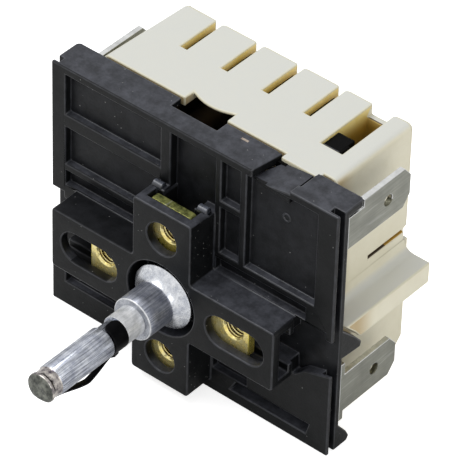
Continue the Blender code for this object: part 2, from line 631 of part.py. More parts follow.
def rear_body():
    """The ivory moulding: a box open to the front, with vents, barriers, bosses and seats."""
    x0, x1, z0, z1 = BODY_LEFT, BODY_RIGHT, COVER_BOTTOM, COVER_TOP
    e = BODY_EDGE
    outline = [(x0, z0), (x1, z0), (x1, z1 - e)]
    outline += [(x1 - e * (1 - math.sin(a)), z1 - e * (1 - math.cos(a)))
                for a in (math.radians(d) for d in (60, 30, 0))]
    outline += [(x0 + e * (1 - math.sin(a)), z1 - e * (1 - math.cos(a)))
                for a in (math.radians(d) for d in (0, 30, 60))]
    outline += [(x0, z1 - e)]
    body = prism(outline, "Y", BODY_FRONT, BODY_REAR)
    for vert in body.data.vertices:
        if vert.co.x < MIDDLE_X and vert.co.y > (BODY_FRONT + BODY_REAR) / 2:
            vert.co.x += LEFT_DRAFT
    over = WALL_Y + CLEAR
    slope_y, slope_z = BODY_REAR - REAR_CUT_DEPTH, z0 + REAR_CUT_HEIGHT
    hollow = prism([(BODY_FRONT - CUT, INSIDE_BOTTOM), (slope_y - REAR_CUT_INSIDE, INSIDE_BOTTOM),
                    (INSIDE_REAR, slope_z + REAR_CUT_INSIDE / 2), (INSIDE_REAR, INSIDE_TOP), (BODY_FRONT - CUT, INSIDE_TOP)],
                   "X", INSIDE_LEFT, INSIDE_RIGHT)
    rebate = block(x0 - CUT, x1 + CUT, BODY_FRONT - CUT, over, WALL_Z - CLEAR, z1 + CUT)
    steep = REAR_CUT_HEIGHT / REAR_CUT_DEPTH
    slope = prism([(slope_y - CUT, z0 - CUT * steep), (BODY_REAR + CUT, z0 - CUT * steep), (BODY_REAR + CUT, slope_z + CUT * steep)],
                  "X", x0 - CUT, x1 + CUT)
    cut(body, hollow, rebate, slope)
    shelf_rear = BODY_REAR - 0.0006
    parts = [
        prism(shelf(False, SHELF_REACH, SHELF_LOW, SHELF_THICK, 0.0016), "Y", BODY_FRONT, shelf_rear),
        prism(shelf(True, SHELF_REACH_LEFT, SHELF_LOW, SHELF_THICK, 0.0006), "Y", BODY_FRONT, shelf_rear),
        prism(shelf(True, SHELF_REACH_LEFT, BARRIER_LOW, BARRIER_THICK, 0.0004), "Y", BODY_FRONT, shelf_rear),
        rod("Y", (PIVOT_X, PIVOT_Z), LEVER_HUB, LEVER_REAR + RUN, INSIDE_REAR + LAP),
        rod("Y", (0, 0), TAIL_BOSS_RADIUS, TAIL_BOSS_Y, INSIDE_REAR + LAP, 32),
        block(WINDOW_LEFT - GUIDE_THICK, WINDOW_LEFT, over + CLEAR, INSIDE_REAR + LAP, INSIDE_TOP - GUIDE_DROP, INSIDE_TOP + LAP),
    ]
    joined(body, *parts)
    # Room in the barriers for the cover's middle lugs, along the lug's own slope
    lug_rear = PLATE_Y + LUG_MIDDLE_REACH + CLEAR
    lug_edge = LUG_WIDTH + CLEAR
    room = [(BODY_FRONT - CUT, 0.0047 + CUT), (BODY_FRONT, 0.0047), (PLATE_Y + 0.0030, 0.00185), (lug_rear, 0.0002),
            (lug_rear, SHELF_LOW - 2 * CUT), (BODY_FRONT - CUT, SHELF_LOW - 2 * CUT)]
    cuts = [
        prism(room, "X", COVER_RIGHT - lug_edge, COVER_RIGHT + CUT),
        prism(room, "X", COVER_LEFT - CUT, COVER_LEFT + lug_edge),
        rod("Y", (0, 0), SHAFT_RADIUS + RUN, TAIL_BOSS_Y - CUT, BODY_REAR + CUT, 32),
        rod("Y", (PIVOT_X, PIVOT_Z), PIN_RADIUS + CLEAR, LEVER_REAR, BODY_REAR - BODY_WALL / 2, 16),
        # Latch window in the top with a thinner bridge to the rear, and one below
        block(WINDOW_LEFT, WINDOW_LEFT + WINDOW_WIDTH, BODY_REAR - WINDOW_LENGTH - BODY_WALL,
              INSIDE_REAR, INSIDE_TOP - CUT, z1 + CUT),
        block(WINDOW_LEFT, WINDOW_LEFT + WINDOW_WIDTH, INSIDE_REAR - LAP, BODY_REAR + CUT,
              z1 - WINDOW_LINTEL, z1 + CUT),
        block(LATCH_LOW_LEFT - CLEAR, LATCH_LOW_LEFT + LATCH_WIDTH + CLEAR, LATCH_REAR - LATCH_HOOK_LENGTH - CLEAR,
              LATCH_REAR + 0.0020, z0 - CUT, INSIDE_BOTTOM + CUT),
        # Slit and small notch in the right wall
        block(INSIDE_RIGHT - CUT, x1 + CUT, BODY_REAR - SIDE_SLIT_LENGTH, BODY_REAR + CUT,
              SIDE_SLIT_LOW, SIDE_SLIT_LOW + SIDE_SLIT_HEIGHT),
        block(INSIDE_RIGHT + BODY_WALL / 2, x1 + CUT, BODY_REAR - 0.0009, BODY_REAR + CUT,
              SIDE_SLIT_LOW - 0.0016, SIDE_SLIT_LOW + 0.0002),
    ]
    # Vent slots from the middle of the top to the rear edge
    for k in range(SLOT_COUNT):
        x = SLOT_FIRST + k * SLOT_PITCH
        cuts.append(block(x - SLOT_WIDTH / 2, x + SLOT_WIDTH / 2, BODY_REAR - SLOT_LENGTH,
                          BODY_REAR + CUT, z1 - SLOT_DROP, z1 + CUT))
    # Vent behind the one in the cover's top wall: its rear lip bows forwards and is thinned below
    middle, half, rear = (VENT_LEFT + VENT_RIGHT) / 2, (VENT_RIGHT - VENT_LEFT) / 2 - CLEAR, over + LIP_DEPTH
    bow = [(middle + half * (1 - k / 6), rear - LIP_SAG * (1 - (1 - k / 6) ** 2)) for k in range(13)]
    cuts.append(prism([(middle + half, over - CUT)] + bow + [(middle - half, over - CUT)], "Z", INSIDE_TOP - CUT, z1 + CUT))
    cuts.append(block(middle - half, middle + half, over - CUT, rear + LIP_REACH, INSIDE_TOP - CUT, z1 - LIP_THICK))
    # Seats in the front rim for the terminals' feet
    seat = FOOT_REAR + CLEAR
    for low, top in ((UPPER_RIGHT_LOW, WALL_Z), (LOWER_RIGHT_LOW, LOWER_RIGHT_LOW + BLADE_WIDTH)):
        cuts.append(block(INSIDE_RIGHT - CUT, x1 + CUT, BODY_FRONT - CUT, seat, low - CLEAR, top + CLEAR))
    for low in (UPPER_LEFT_LOW, PILOT_LOW, LOWER_LEFT_LOW):
        cuts.append(block(x0 - CUT, INSIDE_LEFT + CUT, BODY_FRONT - CUT, seat, low - CLEAR, low + BLADE_WIDTH + CLEAR))
    return cut(body, *cuts)


def tab(side, low, end, shoulder=None):
    """The blade that a quick-connect lead slides onto, with clipped corners and a hole."""
    outer = BLADE_RIGHT if side == "right" else BLADE_LEFT
    x0, x1 = (outer - STRIP, outer) if side == "right" else (outer, outer + STRIP)
    high, c = low + BLADE_WIDTH, BLADE_CLIP
    drop = BLADE_CLIP * 1.2
    top = [(end - c, high), (BODY_FRONT, high)]
    if shoulder is not None:
        top = [(end - c, high), (WALL_Y + CLEAR, high), (WALL_Y + CLEAR, shoulder), (BODY_FRONT, shoulder)]
    outline = [(BODY_FRONT, low), (end - c, low), (end, low + drop), (end, high - drop)] + top
    blade = prism(outline, "X", x0, x1)
    hole = rod("X", (end - HOLE_FROM_END, low + BLADE_WIDTH / 2), BLADE_HOLE, x0 - CUT, x1 + CUT, 20)
    return cut(blade, hole)


def foot(outline):
    """The terminal's foot, flat behind the cover's plate."""
    return prism(outline, "Y", BODY_FRONT, FOOT_REAR)


def terminal_upper_right():
    """Carries the fixed main contact on an arm bent back over the blade."""
    low, mid, high = UPPER_RIGHT_LOW, LATCH_TOP - LATCH_THICK - CLEAR, WALL_Z - 2 * CLEAR
    arm_left = MAIN_CONTACT_X - 0.0022
    plate = foot([(arm_left, low), (BLADE_RIGHT, low), (BLADE_RIGHT, high),
                  (INSIDE_RIGHT - CLEAR, high), (INSIDE_RIGHT - CLEAR, mid), (arm_left, mid)])
    arm = block(arm_left, arm_left + 0.0044, BODY_FRONT, MAIN_BACK, UPPER_ARM_Z, UPPER_ARM_Z + STRIP)
    joined(plate, tab("right", low, UPPER_RIGHT_END, high), arm)
    hole = rod("Z", (MAIN_CONTACT_X, CONTACT_Y), RIVET_SHANK + CLEAR, UPPER_ARM_Z - CUT, UPPER_ARM_Z + STRIP + CUT, 16)
    return cut(plate, hole)


def terminal_lower_right():
    """Carries the fixed line contact on a low arm."""
    low, high = LOWER_RIGHT_LOW, LOWER_RIGHT_LOW + BLADE_WIDTH
    arm_left = LINE_CONTACT_X - 0.0024
    arm_low = LOWER_ARM_TOP - STRIP
    wide_low, wide_high = COVER_BOTTOM + 0.0042, high + 0.0020
    step = BODY_RIGHT + CLEAR
    plate = foot([
        (arm_left, arm_low), (INSIDE_RIGHT - CLEAR, arm_low), (INSIDE_RIGHT - CLEAR, low),
        (step, low), (step, wide_low + 0.0010), (step + 0.0010, wide_low), (BLADE_RIGHT, wide_low),
        (BLADE_RIGHT, wide_high), (step, wide_high), (step, high), (INSIDE_RIGHT - BODY_WALL, high),
        (arm_left, high - BODY_WALL),
    ])
    arm = block(arm_left, arm_left + 0.0048, BODY_FRONT, MAIN_BACK, arm_low, LOWER_ARM_TOP)
    joined(plate, tab("right", low, LOWER_RIGHT_END), arm)
    hole = rod("Z", (LINE_CONTACT_X, CONTACT_Y), RIVET_SHANK + CLEAR, arm_low - CUT, LOWER_ARM_TOP + CUT, 16)
    return cut(plate, hole)


def root_terminal(low, end, arm_top):
    """A left terminal whose arm carries the root of a contact blade."""
    arm_right = ROOT_RIVET_X + 0.0027
    arm_low = arm_top - STRIP
    inner = INSIDE_LEFT + CLEAR
    base = min(arm_low, low + BLADE_WIDTH - 0.0030)
    plate = foot([(BLADE_LEFT, low), (inner, low), (inner, base), (arm_right, base),
                  (arm_right, base + 0.0036), (inner, low + BLADE_WIDTH), (BLADE_LEFT, low + BLADE_WIDTH)])
    arm = block(inner, arm_right, BODY_FRONT, MAIN_BACK, arm_low, arm_top)
    joined(plate, tab("left", low, end), arm)
    hole = rod("Z", (ROOT_RIVET_X, CONTACT_Y), RIVET_SHANK + CLEAR, arm_low - CUT, arm_top + CUT, 16)
    return cut(plate, hole)


def terminal_pilot():
    """The lamp terminal: a blade, a foot and a short tail bent back along the wall."""
    low, high = PILOT_LOW, PILOT_LOW + BLADE_WIDTH
    inner = INSIDE_LEFT + CLEAR + STRIP
    plate = foot([(BLADE_LEFT, low), (inner, low), (inner, high), (BLADE_LEFT, high)])
    tail = block(inner - STRIP, inner, BODY_FRONT, BODY_FRONT + 0.0046, low + 0.0010, high - 0.0010)
    return joined(plate, tab("left", low, PILOT_END), tail)


def shaft():
    """The drive shaft: a flat for the knob, a neck near the tip, and a flat inside the cam."""
    r, n, clip = SHAFT_RADIUS, NECK_RADIUS, CLIP_NECK
    tip = SHAFT_TIP
    clip0, clip1 = CLIP_FRONT - CLEAR, CLIP_REAR + CLEAR
    profile = [
        (tip, r - 0.0006), (tip + 0.0005, r), (tip + 0.0024, r), (tip + 0.0026, r - 0.0003),
        (tip + 0.0031, r - 0.0003), (tip + 0.0033, r), (clip0, r), (clip0, clip), (clip1, clip), (clip1, r),
        (RING_FRONT - CLEAR, r), (RING_FRONT - CLEAR, n), (RING_REAR + CLEAR, n), (RING_REAR + CLEAR, r),
        (SHAFT_TAIL - 0.0004, r), (SHAFT_TAIL, r - 0.0004),
    ]
    rod_ = turned(profile, "Y", (0, 0), 32)
    knob = block(-2 * r, 2 * r, tip - CUT, clip0 - 0.0006, FLAT_HEIGHT, 3 * r)
    knob.data.transform(Matrix.Rotation(math.radians(FLAT_TURN), 4, "Y"))
    drive = block(-2 * r, 2 * r, FLARE_REAR + LAP, HUB_REAR, FLAT_HEIGHT, 3 * r)
    return cut(rod_, knob, drive)


def shaft_collar():
    """The turned collar on the shaft, with its bell-shaped rim inside the boss."""
    bore = SHAFT_RADIUS + CLEAR
    r, front = SHAFT_COLLAR_RADIUS, SHAFT_COLLAR_FRONT
    profile = [
        (front - 0.0004, bore), (front - 0.0004, r - 0.0005), (front, r - 0.0005), (front + 0.0002, r - 0.00025),
        (front + 0.0006, r), (front + COLLAR_LINE, r), (front + COLLAR_LINE + 0.0001, r - 0.00008), (front + COLLAR_LINE + 0.0002, r),
    ]
    bell = FLARE_REAR - FLARE_START - 0.0005
    for k in range(7):
        t = k / 6
        profile.append((FLARE_START + bell * t, r + (FLARE_RADIUS - r) * (1 - math.cos(t * math.pi / 2))))
    profile += [(FLARE_REAR, FLARE_RADIUS), (FLARE_REAR, bore)]
    return turned(profile, "Y", (0, 0), 40, ring=True)


def shaft_clip():
    """A black spring clip: an open sleeve round the neck and a bowed leaf along the knob's flat."""
    inner = CLIP_NECK + CLEAR
    outer = inner + CLIP_WALL
    steps = 24
    angles = [math.radians(CLIP_FROM + (CLIP_TO - CLIP_FROM) * k / steps) for k in range(steps + 1)]
    arc = [(outer * math.sin(a), outer * math.cos(a)) for a in angles]
    arc += [(inner * math.sin(a), inner * math.cos(a)) for a in angles[::-1]]
    sleeve = prism(arc, "Y", CLIP_FRONT, CLIP_REAR)
    start, end = CLIP_FRONT + LAP, SHAFT_TIP + LEAF_TIP
    z0, z1 = -inner - CLIP_WALL / 4, -FLAT_HEIGHT - CLEAR
    upper, lower = [], []
    for k in range(17):
        t = k / 16
        rise = t / LEAF_BOW_AT if t < LEAF_BOW_AT else (1 - t) / (1 - LEAF_BOW_AT)
        z = z0 + (z1 - z0) * t - LEAF_BOW * (rise + 3 * rise**2 - 2 * rise**3) / 2
        y = start + (end - start) * t
        upper.append((y, z))
        lower.append((y, z - LEAF_THICK))
    leaf = prism(upper + lower[::-1], "X", -LEAF_WIDTH / 2, LEAF_WIDTH / 2)
    return joined(sleeve, leaf)


def cam_radius(angle):
    """The cam's radius: a linear rise over the working turn, then a smooth drop."""
    if angle <= CAM_TURN:
        return CAM_LOW + CAM_RISE * angle / CAM_TURN
    share = (angle - CAM_TURN) / (360.0 - CAM_TURN)
    return CAM_LOW + CAM_RISE * (1 + math.cos(math.pi * share)) / 2


def cam():
    """The moulded cam: spiral rim, hubs in the cover's bearing and behind, and a D-shaped bore."""
    rim = []
    for k in range(72):
        angle = 5.0 * k
        r = cam_radius(angle)
        rim.append((-r * math.sin(math.radians(angle)), r * math.cos(math.radians(angle))))
    disc = prism(rim, "Y", CAM_FRONT, CAM_REAR)
    hub = turned(
        [(HUB_FRONT, HUB_RADIUS - 0.0002), (HUB_FRONT + 0.0002, HUB_RADIUS),
         (PLATE_Y + RUN, HUB_RADIUS), (PLATE_Y + RUN, SHOULDER_RADIUS),
         (CAM_FRONT + LAP, SHOULDER_RADIUS), (CAM_FRONT + LAP, HUB_RADIUS), (HUB_REAR, HUB_RADIUS)],
        "Y", (0, 0), 32)
    joined(disc, hub)
    bore = SHAFT_RADIUS + CLEAR
    points = []
    flat = FLAT_HEIGHT + CLEAR
    edge = math.acos(flat / bore)
    for k in range(29):
        a = edge + (2 * math.pi - 2 * edge) * k / 28
        points.append((bore * math.sin(a), bore * math.cos(a)))
    return cut(disc, prism(points, "Y", HUB_FRONT - CUT, HUB_REAR + CUT))


def retaining_ring():
    """An open ring in the shaft's groove."""
    inner = SHAFT_RADIUS
    ring = turned(
        [(RING_FRONT, RING_RADIUS), (RING_REAR, RING_RADIUS), (RING_REAR, inner), (RING_FRONT, inner)],
        "Y", (0, 0), 32, ring=True)
    return cut(ring, block(-0.0008, 0.0008, RING_FRONT - CUT, RING_REAR + CUT, -RING_RADIUS - CUT, 0))


def return_spring():
    """A short coil that pushes the shaft forward again."""
    per_turn, around = 20, 8
    count = int(per_turn * SPRING_TURNS)
    first, last = SPRING_FRONT + SPRING_WIRE, SPRING_REAR - SPRING_WIRE
    bm = bmesh.new()
    rows = []
    for k in range(count + 1):
        a = 2 * math.pi * k / per_turn
        y = first + (last - first) * k / count
        row = []
        for j in range(around):
            b = 2 * math.pi * j / around
            r = SPRING_RADIUS + SPRING_WIRE * math.cos(b)
            row.append(bm.verts.new((r * math.sin(a), y + SPRING_WIRE * math.sin(b), r * math.cos(a))))
        rows.append(row)
    for one, two in zip(rows, rows[1:]):
        for j in range(around):
            i = (j + 1) % around
            bm.faces.new([one[j], one[i], two[i], two[j]])
    bm.faces.new(rows[0])
    bm.faces.new(rows[-1])
    return made("spring", bm)


def follower_lever():
    """The lever that rides on the cam, with a long hub on its pin and a pad for the bimetal."""
    lever = rod("Y", (PIVOT_X, PIVOT_Z), LEVER_HUB, CAM_FRONT, LEVER_REAR)
    arm_low = PIVOT_Z - LEVER_THICK / 3
    arm = [(PIVOT_X, arm_low), (LEVER_REACH - 0.0006, arm_low), (LEVER_REACH, arm_low + 0.0006),
           (LEVER_REACH, arm_low + LEVER_THICK - 0.0004), (PIVOT_X, arm_low + LEVER_THICK)]
    pad = block(PIVOT_X - PAD_HALF, PIVOT_X + PAD_HALF, PAD_FRONT, LEVER_REAR, PIVOT_Z, PAD_TOP)
    post = block(-NUB_RADIUS, NUB_RADIUS, CAM_FRONT, CAM_REAR, NUB_Z, arm_low + LAP)
    joined(lever, prism(arm, "Y", CAM_FRONT, CAM_REAR), pad, post,
           rod("Y", (0, NUB_Z), NUB_RADIUS, CAM_FRONT, CAM_REAR, 24))
    hole = rod("Z", (PIVOT_X, (BIMETAL_FRONT + BIMETAL_REAR) / 2), RIVET_SHANK + CLEAR,
               PIVOT_Z + PIN_RADIUS + 2 * CLEAR, PAD_TOP + CUT, 16)
    pin = rod("Y", (PIVOT_X, PIVOT_Z), PIN_RADIUS + RUN, CAM_FRONT - CUT, LEVER_REAR + CUT, 16)
    return cut(lever, pin, hole)


def bimetal_strip():
    """A two-layer strip fixed to the lever's pad and tapered to its tip."""
    y0, y1 = BIMETAL_FRONT, BIMETAL_REAR
    outline = [(PIVOT_X - PAD_HALF, y0), (HEATER_LEFT + HEATER_LENGTH, y0), (BIMETAL_TIP, y0 + 0.0009),
               (BIMETAL_TIP, y1 - 0.0009), (HEATER_LEFT + HEATER_LENGTH, y1), (PIVOT_X - PAD_HALF, y1)]
    strip = prism(outline, "Z", BIMETAL_Z, BIMETAL_Z + BIMETAL_THICK)
    middle = (y0 + y1) / 2
    return cut(strip, rod("Z", (PIVOT_X, middle), RIVET_SHANK + CLEAR, BIMETAL_Z - CUT, BIMETAL_Z + BIMETAL_THICK + CUT, 16))


def bimetal_rivet():
    """The rivet through the strip into the lever's pad."""
    top = BIMETAL_Z + BIMETAL_THICK + CLEAR
    low = PIVOT_Z + PIN_RADIUS + 3 * CLEAR
    return turned([(low, RIVET_SHANK), (top, RIVET_SHANK), (top, 0.0012), (top + 0.0003, 0.0012), (top + 0.0006, 0.0008)],
                  "Z", (PIVOT_X, (BIMETAL_FRONT + BIMETAL_REAR) / 2), 16)


def heater_block():
    """The heater wound round the strip: a sleeve with a ridge for each turn."""
    low = BIMETAL_Z - CLEAR - HEATER_WALL
    high = BIMETAL_Z + BIMETAL_THICK + CLEAR + HEATER_WALL
    pitch = HEATER_LENGTH / (2 * HEATER_RIDGES - 1)
    dip = 0.0003
    upper, lower = [], []
    for k in range(2 * HEATER_RIDGES - 1):
        x0, x1 = HEATER_LEFT + k * pitch, HEATER_LEFT + (k + 1) * pitch
        inset = dip if k % 2 else 0.0
        upper += [(x0, high - inset), (x1, high - inset)]
        lower += [(x0, low + inset), (x1, low + inset)]
    sleeve = prism(lower + upper[::-1], "Y", BIMETAL_FRONT - CLEAR - HEATER_WALL + dip, BIMETAL_REAR + CLEAR + HEATER_WALL)
    return cut(sleeve, block(HEATER_LEFT - CUT, HEATER_LEFT + HEATER_LENGTH + CUT, BIMETAL_FRONT - CLEAR,
                             BIMETAL_REAR + CLEAR, BIMETAL_Z - CLEAR, BIMETAL_Z + BIMETAL_THICK + CLEAR))


def root_rivet(z, down, up):
    """A rivet that holds a contact blade to its terminal's arm."""
    return turned([(z - down, RIVET_SHANK), (z + LAP / 5, RIVET_SHANK), (z + LAP / 5, 0.0010), (z + up, 0.0010)],
                  "Z", (ROOT_RIVET_X, CONTACT_Y), 16)


def contact_blade(z, tip, contact_x, front, back, slots, hole):
    """A spring blade: rounded tip, narrow middle, rivet at its root and a hole for its contact."""
    mid = CONTACT_Y
    half = 0.0016
    end = contact_x + 0.0016
    outline = [(BLADE_ROOT, front), (ROOT_RIVET_X + 0.0020, front), (ROOT_RIVET_X + 0.0035, mid - half - 0.0002),
               (end - 0.0010, mid - half - 0.0002), (end, mid - half / 2), (tip, mid),
               (end, mid + half / 2), (end - 0.0010, mid + half + 0.0002),
               (ROOT_RIVET_X + 0.0035, mid + half + 0.0002), (ROOT_RIVET_X + 0.0020, back), (BLADE_ROOT, back)]
    blade = prism(outline, "Z", z, z + SPRING_STRIP)
    rivet = root_rivet(z + SPRING_STRIP / 2, SPRING_STRIP / 2 + CLEAR + STRIP, SPRING_STRIP + 0.0004)
    joined(blade, rivet)
    tools = [rod("Z", (contact_x, mid), RIVET_SHANK + CLEAR, z - CUT, z + SPRING_STRIP + CUT, 16)]
    for x0, x1 in slots:
        tools.append(block(x0, x1, mid - 0.0005, mid + 0.0005, z - CUT, z + SPRING_STRIP + CUT))
    tools.extend(hole)
    return cut(blade, *tools)


def main_contact_blade():
    return contact_blade(MAIN_Z, MAIN_CONTACT_X + 0.0019, MAIN_CONTACT_X, CONTACT_Y - 0.0020,
                         MAIN_BACK, [(-0.0080, 0.0060)], [])


def line_contact_blade():
    """The line blade has a side ear under the cam, with a hole for the button."""
    z = LINE_Z
    blade = contact_blade(z, LINE_CONTACT_X + 0.0019, LINE_CONTACT_X, CONTACT_Y - 0.0020, MAIN_BACK - 0.0006, [], [])
    ear = prism([(-0.0022, CONTACT_Y - 0.0010), (-0.0017, CAM_FRONT + 0.0002), (0.0017, CAM_FRONT + 0.0002),
                 (0.0022, CONTACT_Y - 0.0010)], "Z", z, z + SPRING_STRIP)
    joined(blade, ear)
    return cut(blade, rod("Z", (0, (CAM_FRONT + CAM_REAR) / 2), RIVET_SHANK + CLEAR, z - CUT, z + SPRING_STRIP + CUT, 16))


def line_button():
    """The insulating button between the line blade and the cam's rim."""
    top = -CAM_HIGH - RUN
    seat = LINE_Z + SPRING_STRIP + CLEAR
    return turned([(LINE_Z, RIVET_SHANK), (seat, RIVET_SHANK), (seat, BUTTON_RADIUS), (top - 0.0003, BUTTON_RADIUS), (top, BUTTON_RADIUS - 0.0004)],
                  "Z", (0, (CAM_FRONT + CAM_REAR) / 2), 20)


def contact(x, face, head, shank_end):
    """A silver rivet contact: its head lies between face and head, its shank ends at shank_end."""
    way = 1 if shank_end > head else -1
    return turned([(face, CONTACT_RADIUS - 0.0003), (face + way * 0.0002, CONTACT_RADIUS), (head, CONTACT_RADIUS),
                   (head, RIVET_SHANK), (shank_end, RIVET_SHANK)], "Z", (x, CONTACT_Y), 20)


def build():
    for obj in list(bpy.data.objects):
        bpy.data.objects.remove(obj)
    black = finish("black_phenolic", "#2e2f31", 0.55)
    ivory = finish("ivory_moulding", "#dad8cd", 0.5)
    tin = finish("tinned_strip", "#9a9b9c", 0.35, 1.0)
    yellow = finish("yellow_plating", "#c9b060", 0.35, 1.0)
    steel = finish("shaft_steel", "#a9adb5", 0.3, 1.0)
    collar_steel = finish("collar_steel", "#8d9099", 0.3, 1.0)
    clip_black = finish("clip_black", "#1c1c1e", 0.5)
    cam_white = finish("cam_moulding", "#c9c4b2", 0.5)
    spring_steel = finish("spring_steel", "#8b8d90", 0.35, 1.0)
    lever_steel = finish("lever_zinc", "#b3b3ad", 0.4, 1.0)
    bimetal = finish("bimetal", "#a79a83", 0.4, 1.0)
    ceramic = finish("heater_sleeve", "#d8cfc0", 0.7)
    bronze = finish("spring_bronze", "#b0803f", 0.35, 1.0)
    silver = finish("contact_silver", "#c8c8c4", 0.3, 1.0)
    red_button = finish("button_moulding", "#7a4a32", 0.5)

    cam_axis = pivot("cam_axis", (0, 0, 0))
    shaft_slide = pivot("shaft_slide", (0, 0, 0), cam_axis)
    lever_place = (PIVOT_X, 0, PIVOT_Z)
    lever_axis = pivot("lever_axis", lever_place)
    root = ROOT_RIVET_X + 0.0020
    main_place = (root, 0, MAIN_Z)
    main_axis = pivot("main_blade_axis", main_place)
    line_place = (root, 0, LINE_Z)
    line_axis = pivot("line_blade_axis", line_place)

    finished(front_cover(), "front_cover", black)
    finished(rear_body(), "rear_body", ivory)
    for way, name in (("up", "top"), ("down", "bottom"), ("left", "left"), ("right", "right")):
        finished(nut_plate(way), "mount_nut_" + name, yellow)
    finished(terminal_upper_right(), "terminal_upper_right", tin)
    finished(terminal_lower_right(), "terminal_lower_right", tin)
    finished(root_terminal(UPPER_LEFT_LOW, UPPER_LEFT_END, MAIN_Z - CLEAR), "terminal_upper_left", tin)
    finished(root_terminal(LOWER_LEFT_LOW, LOWER_LEFT_END, LINE_Z - CLEAR), "terminal_lower_left", tin)
    finished(terminal_pilot(), "terminal_pilot", tin)
    finished(rod("Y", (PIVOT_X, PIVOT_Z), PIN_RADIUS, PANEL_Y + LAP + CLEAR, BODY_REAR - BODY_WALL / 2 - CLEAR, 16),
             "lever_pin", steel)
    finished(return_spring(), "return_spring", spring_steel)
    finished(contact(MAIN_CONTACT_X, UPPER_ARM_Z - CLEAR - CONTACT_THICK, UPPER_ARM_Z - CLEAR, UPPER_ARM_Z + STRIP),
             "main_fixed_contact", silver)
    finished(contact(LINE_CONTACT_X, LOWER_FIXED_TOP, LOWER_FIXED_TOP - CONTACT_THICK, LOWER_ARM_TOP - STRIP),
             "line_fixed_contact", silver)

    finished(cam(), "cam", cam_white, cam_axis)
    finished(shaft(), "shaft", steel, shaft_slide)
    finished(shaft_collar(), "shaft_collar", collar_steel, shaft_slide)
    finished(shaft_clip(), "shaft_clip", clip_black, shaft_slide)
    finished(retaining_ring(), "retaining_ring", spring_steel, shaft_slide)

    finished(follower_lever(), "follower_lever", lever_steel, lever_axis, lever_place)
    finished(bimetal_strip(), "bimetal_strip", bimetal, lever_axis, lever_place)
    finished(bimetal_rivet(), "bimetal_rivet", steel, lever_axis, lever_place)
    finished(heater_block(), "heater_block", ceramic, lever_axis, lever_place)

    finished(main_contact_blade(), "main_contact_blade", bronze, main_axis, main_place)
    top = MAIN_Z + SPRING_STRIP + CLEAR
    finished(contact(MAIN_CONTACT_X, top + CONTACT_THICK, top, MAIN_Z), "main_moving_contact", silver, main_axis, main_place)
    finished(line_contact_blade(), "line_contact_blade", bronze, line_axis, line_place)
    under = LINE_Z - CLEAR
    finished(contact(LINE_CONTACT_X, under - CONTACT_THICK, under, LINE_Z + SPRING_STRIP), "line_moving_contact", silver, line_axis, line_place)
    finished(line_button(), "line_button", red_button, line_axis, line_place)


build()
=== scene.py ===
"""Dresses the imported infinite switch: moulded cover and body, plated metal, and the studio.

Lengths are in metres, X to the right, Y to the rear and Z up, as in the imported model.
"""

import json
import logging
import math
from collections.abc import Callable, Iterable
from dataclasses import dataclass
from enum import Enum

import bmesh
import bpy
from mathutils import Matrix, Vector


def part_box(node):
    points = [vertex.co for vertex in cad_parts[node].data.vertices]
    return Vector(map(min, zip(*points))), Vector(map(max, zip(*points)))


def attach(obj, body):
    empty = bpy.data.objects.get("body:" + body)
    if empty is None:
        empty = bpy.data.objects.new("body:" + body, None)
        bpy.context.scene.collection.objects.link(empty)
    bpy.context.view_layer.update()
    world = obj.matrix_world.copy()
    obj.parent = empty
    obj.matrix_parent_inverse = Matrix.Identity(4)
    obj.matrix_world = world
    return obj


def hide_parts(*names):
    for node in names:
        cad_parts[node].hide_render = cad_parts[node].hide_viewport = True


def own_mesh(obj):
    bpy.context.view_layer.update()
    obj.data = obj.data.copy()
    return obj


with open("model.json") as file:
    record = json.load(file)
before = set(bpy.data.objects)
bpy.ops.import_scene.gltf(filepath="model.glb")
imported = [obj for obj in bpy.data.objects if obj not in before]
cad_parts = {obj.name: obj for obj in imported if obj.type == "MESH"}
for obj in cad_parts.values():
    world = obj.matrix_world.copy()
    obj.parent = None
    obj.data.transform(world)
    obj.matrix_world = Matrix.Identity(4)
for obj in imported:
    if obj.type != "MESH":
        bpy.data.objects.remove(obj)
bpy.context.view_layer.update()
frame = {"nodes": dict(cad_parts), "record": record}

Point = tuple[float, float, float]
Block = tuple[Point, Point]
Outline = tuple[tuple[float, float], ...]
Shape = bmesh.types.BMesh
Face = bmesh.types.BMFace
Edge = bmesh.types.BMEdge
Tree = bpy.types.NodeTree
Socket = bpy.types.NodeSocket

LOG = logging.getLogger("infinite_switch")
BODIES = {node: body for body, nodes in frame["record"]["behaviour"]["bodies"].items() for node in nodes}

MM = 0.001
COVER_TOP, COVER_BOTTOM = 24.5 * MM, -16.0 * MM
BODY_REAR = 26.1 * MM
SHAFT_TIP, SHAFT_RADIUS = -23.6 * MM, 2.2 * MM
COLLAR_FRONT = -5.5 * MM
RING_FRONT, RING_REAR = 14.0 * MM, 15.2 * MM

# Points closer than this are one point.
MERGE = 0.002 * MM
# Faces that meet at less than this are shaded as one surface.
SMOOTH_BELOW = math.radians(38.0)
# A face looks along an axis when its normal's part along that axis is more than this.
FACING = 0.9
# Nearly all values of a noise texture lie between these.
NOISE_LOW, NOISE_HIGH = 0.3, 0.7
WHITE = (1.0, 1.0, 1.0, 1.0)


def mm(*lengths: float) -> tuple[float, ...]:
    """Lengths in millimetres, as metres."""
    return tuple(length * MM for length in lengths)


def outline(*points: tuple[float, float]) -> Outline:
    """An outline's points in millimetres, as metres."""
    return tuple(mm(*point) for point in points)


# Materials


def linear(code: str) -> tuple[float, float, float, float]:
    """A hex sRGB colour as the shaders take it.

    Args:
        code: The colour, as a hash sign and six digits.

    Returns:
        Its linear red, green and blue, and an alpha of 1.
    """
    parts = [int(code[i : i + 2], 16) / 255 for i in (1, 3, 5)]
    red, green, blue = (p / 12.92 if p <= 0.04045 else ((p + 0.055) / 1.055) ** 2.4 for p in parts)
    return red, green, blue, 1.0


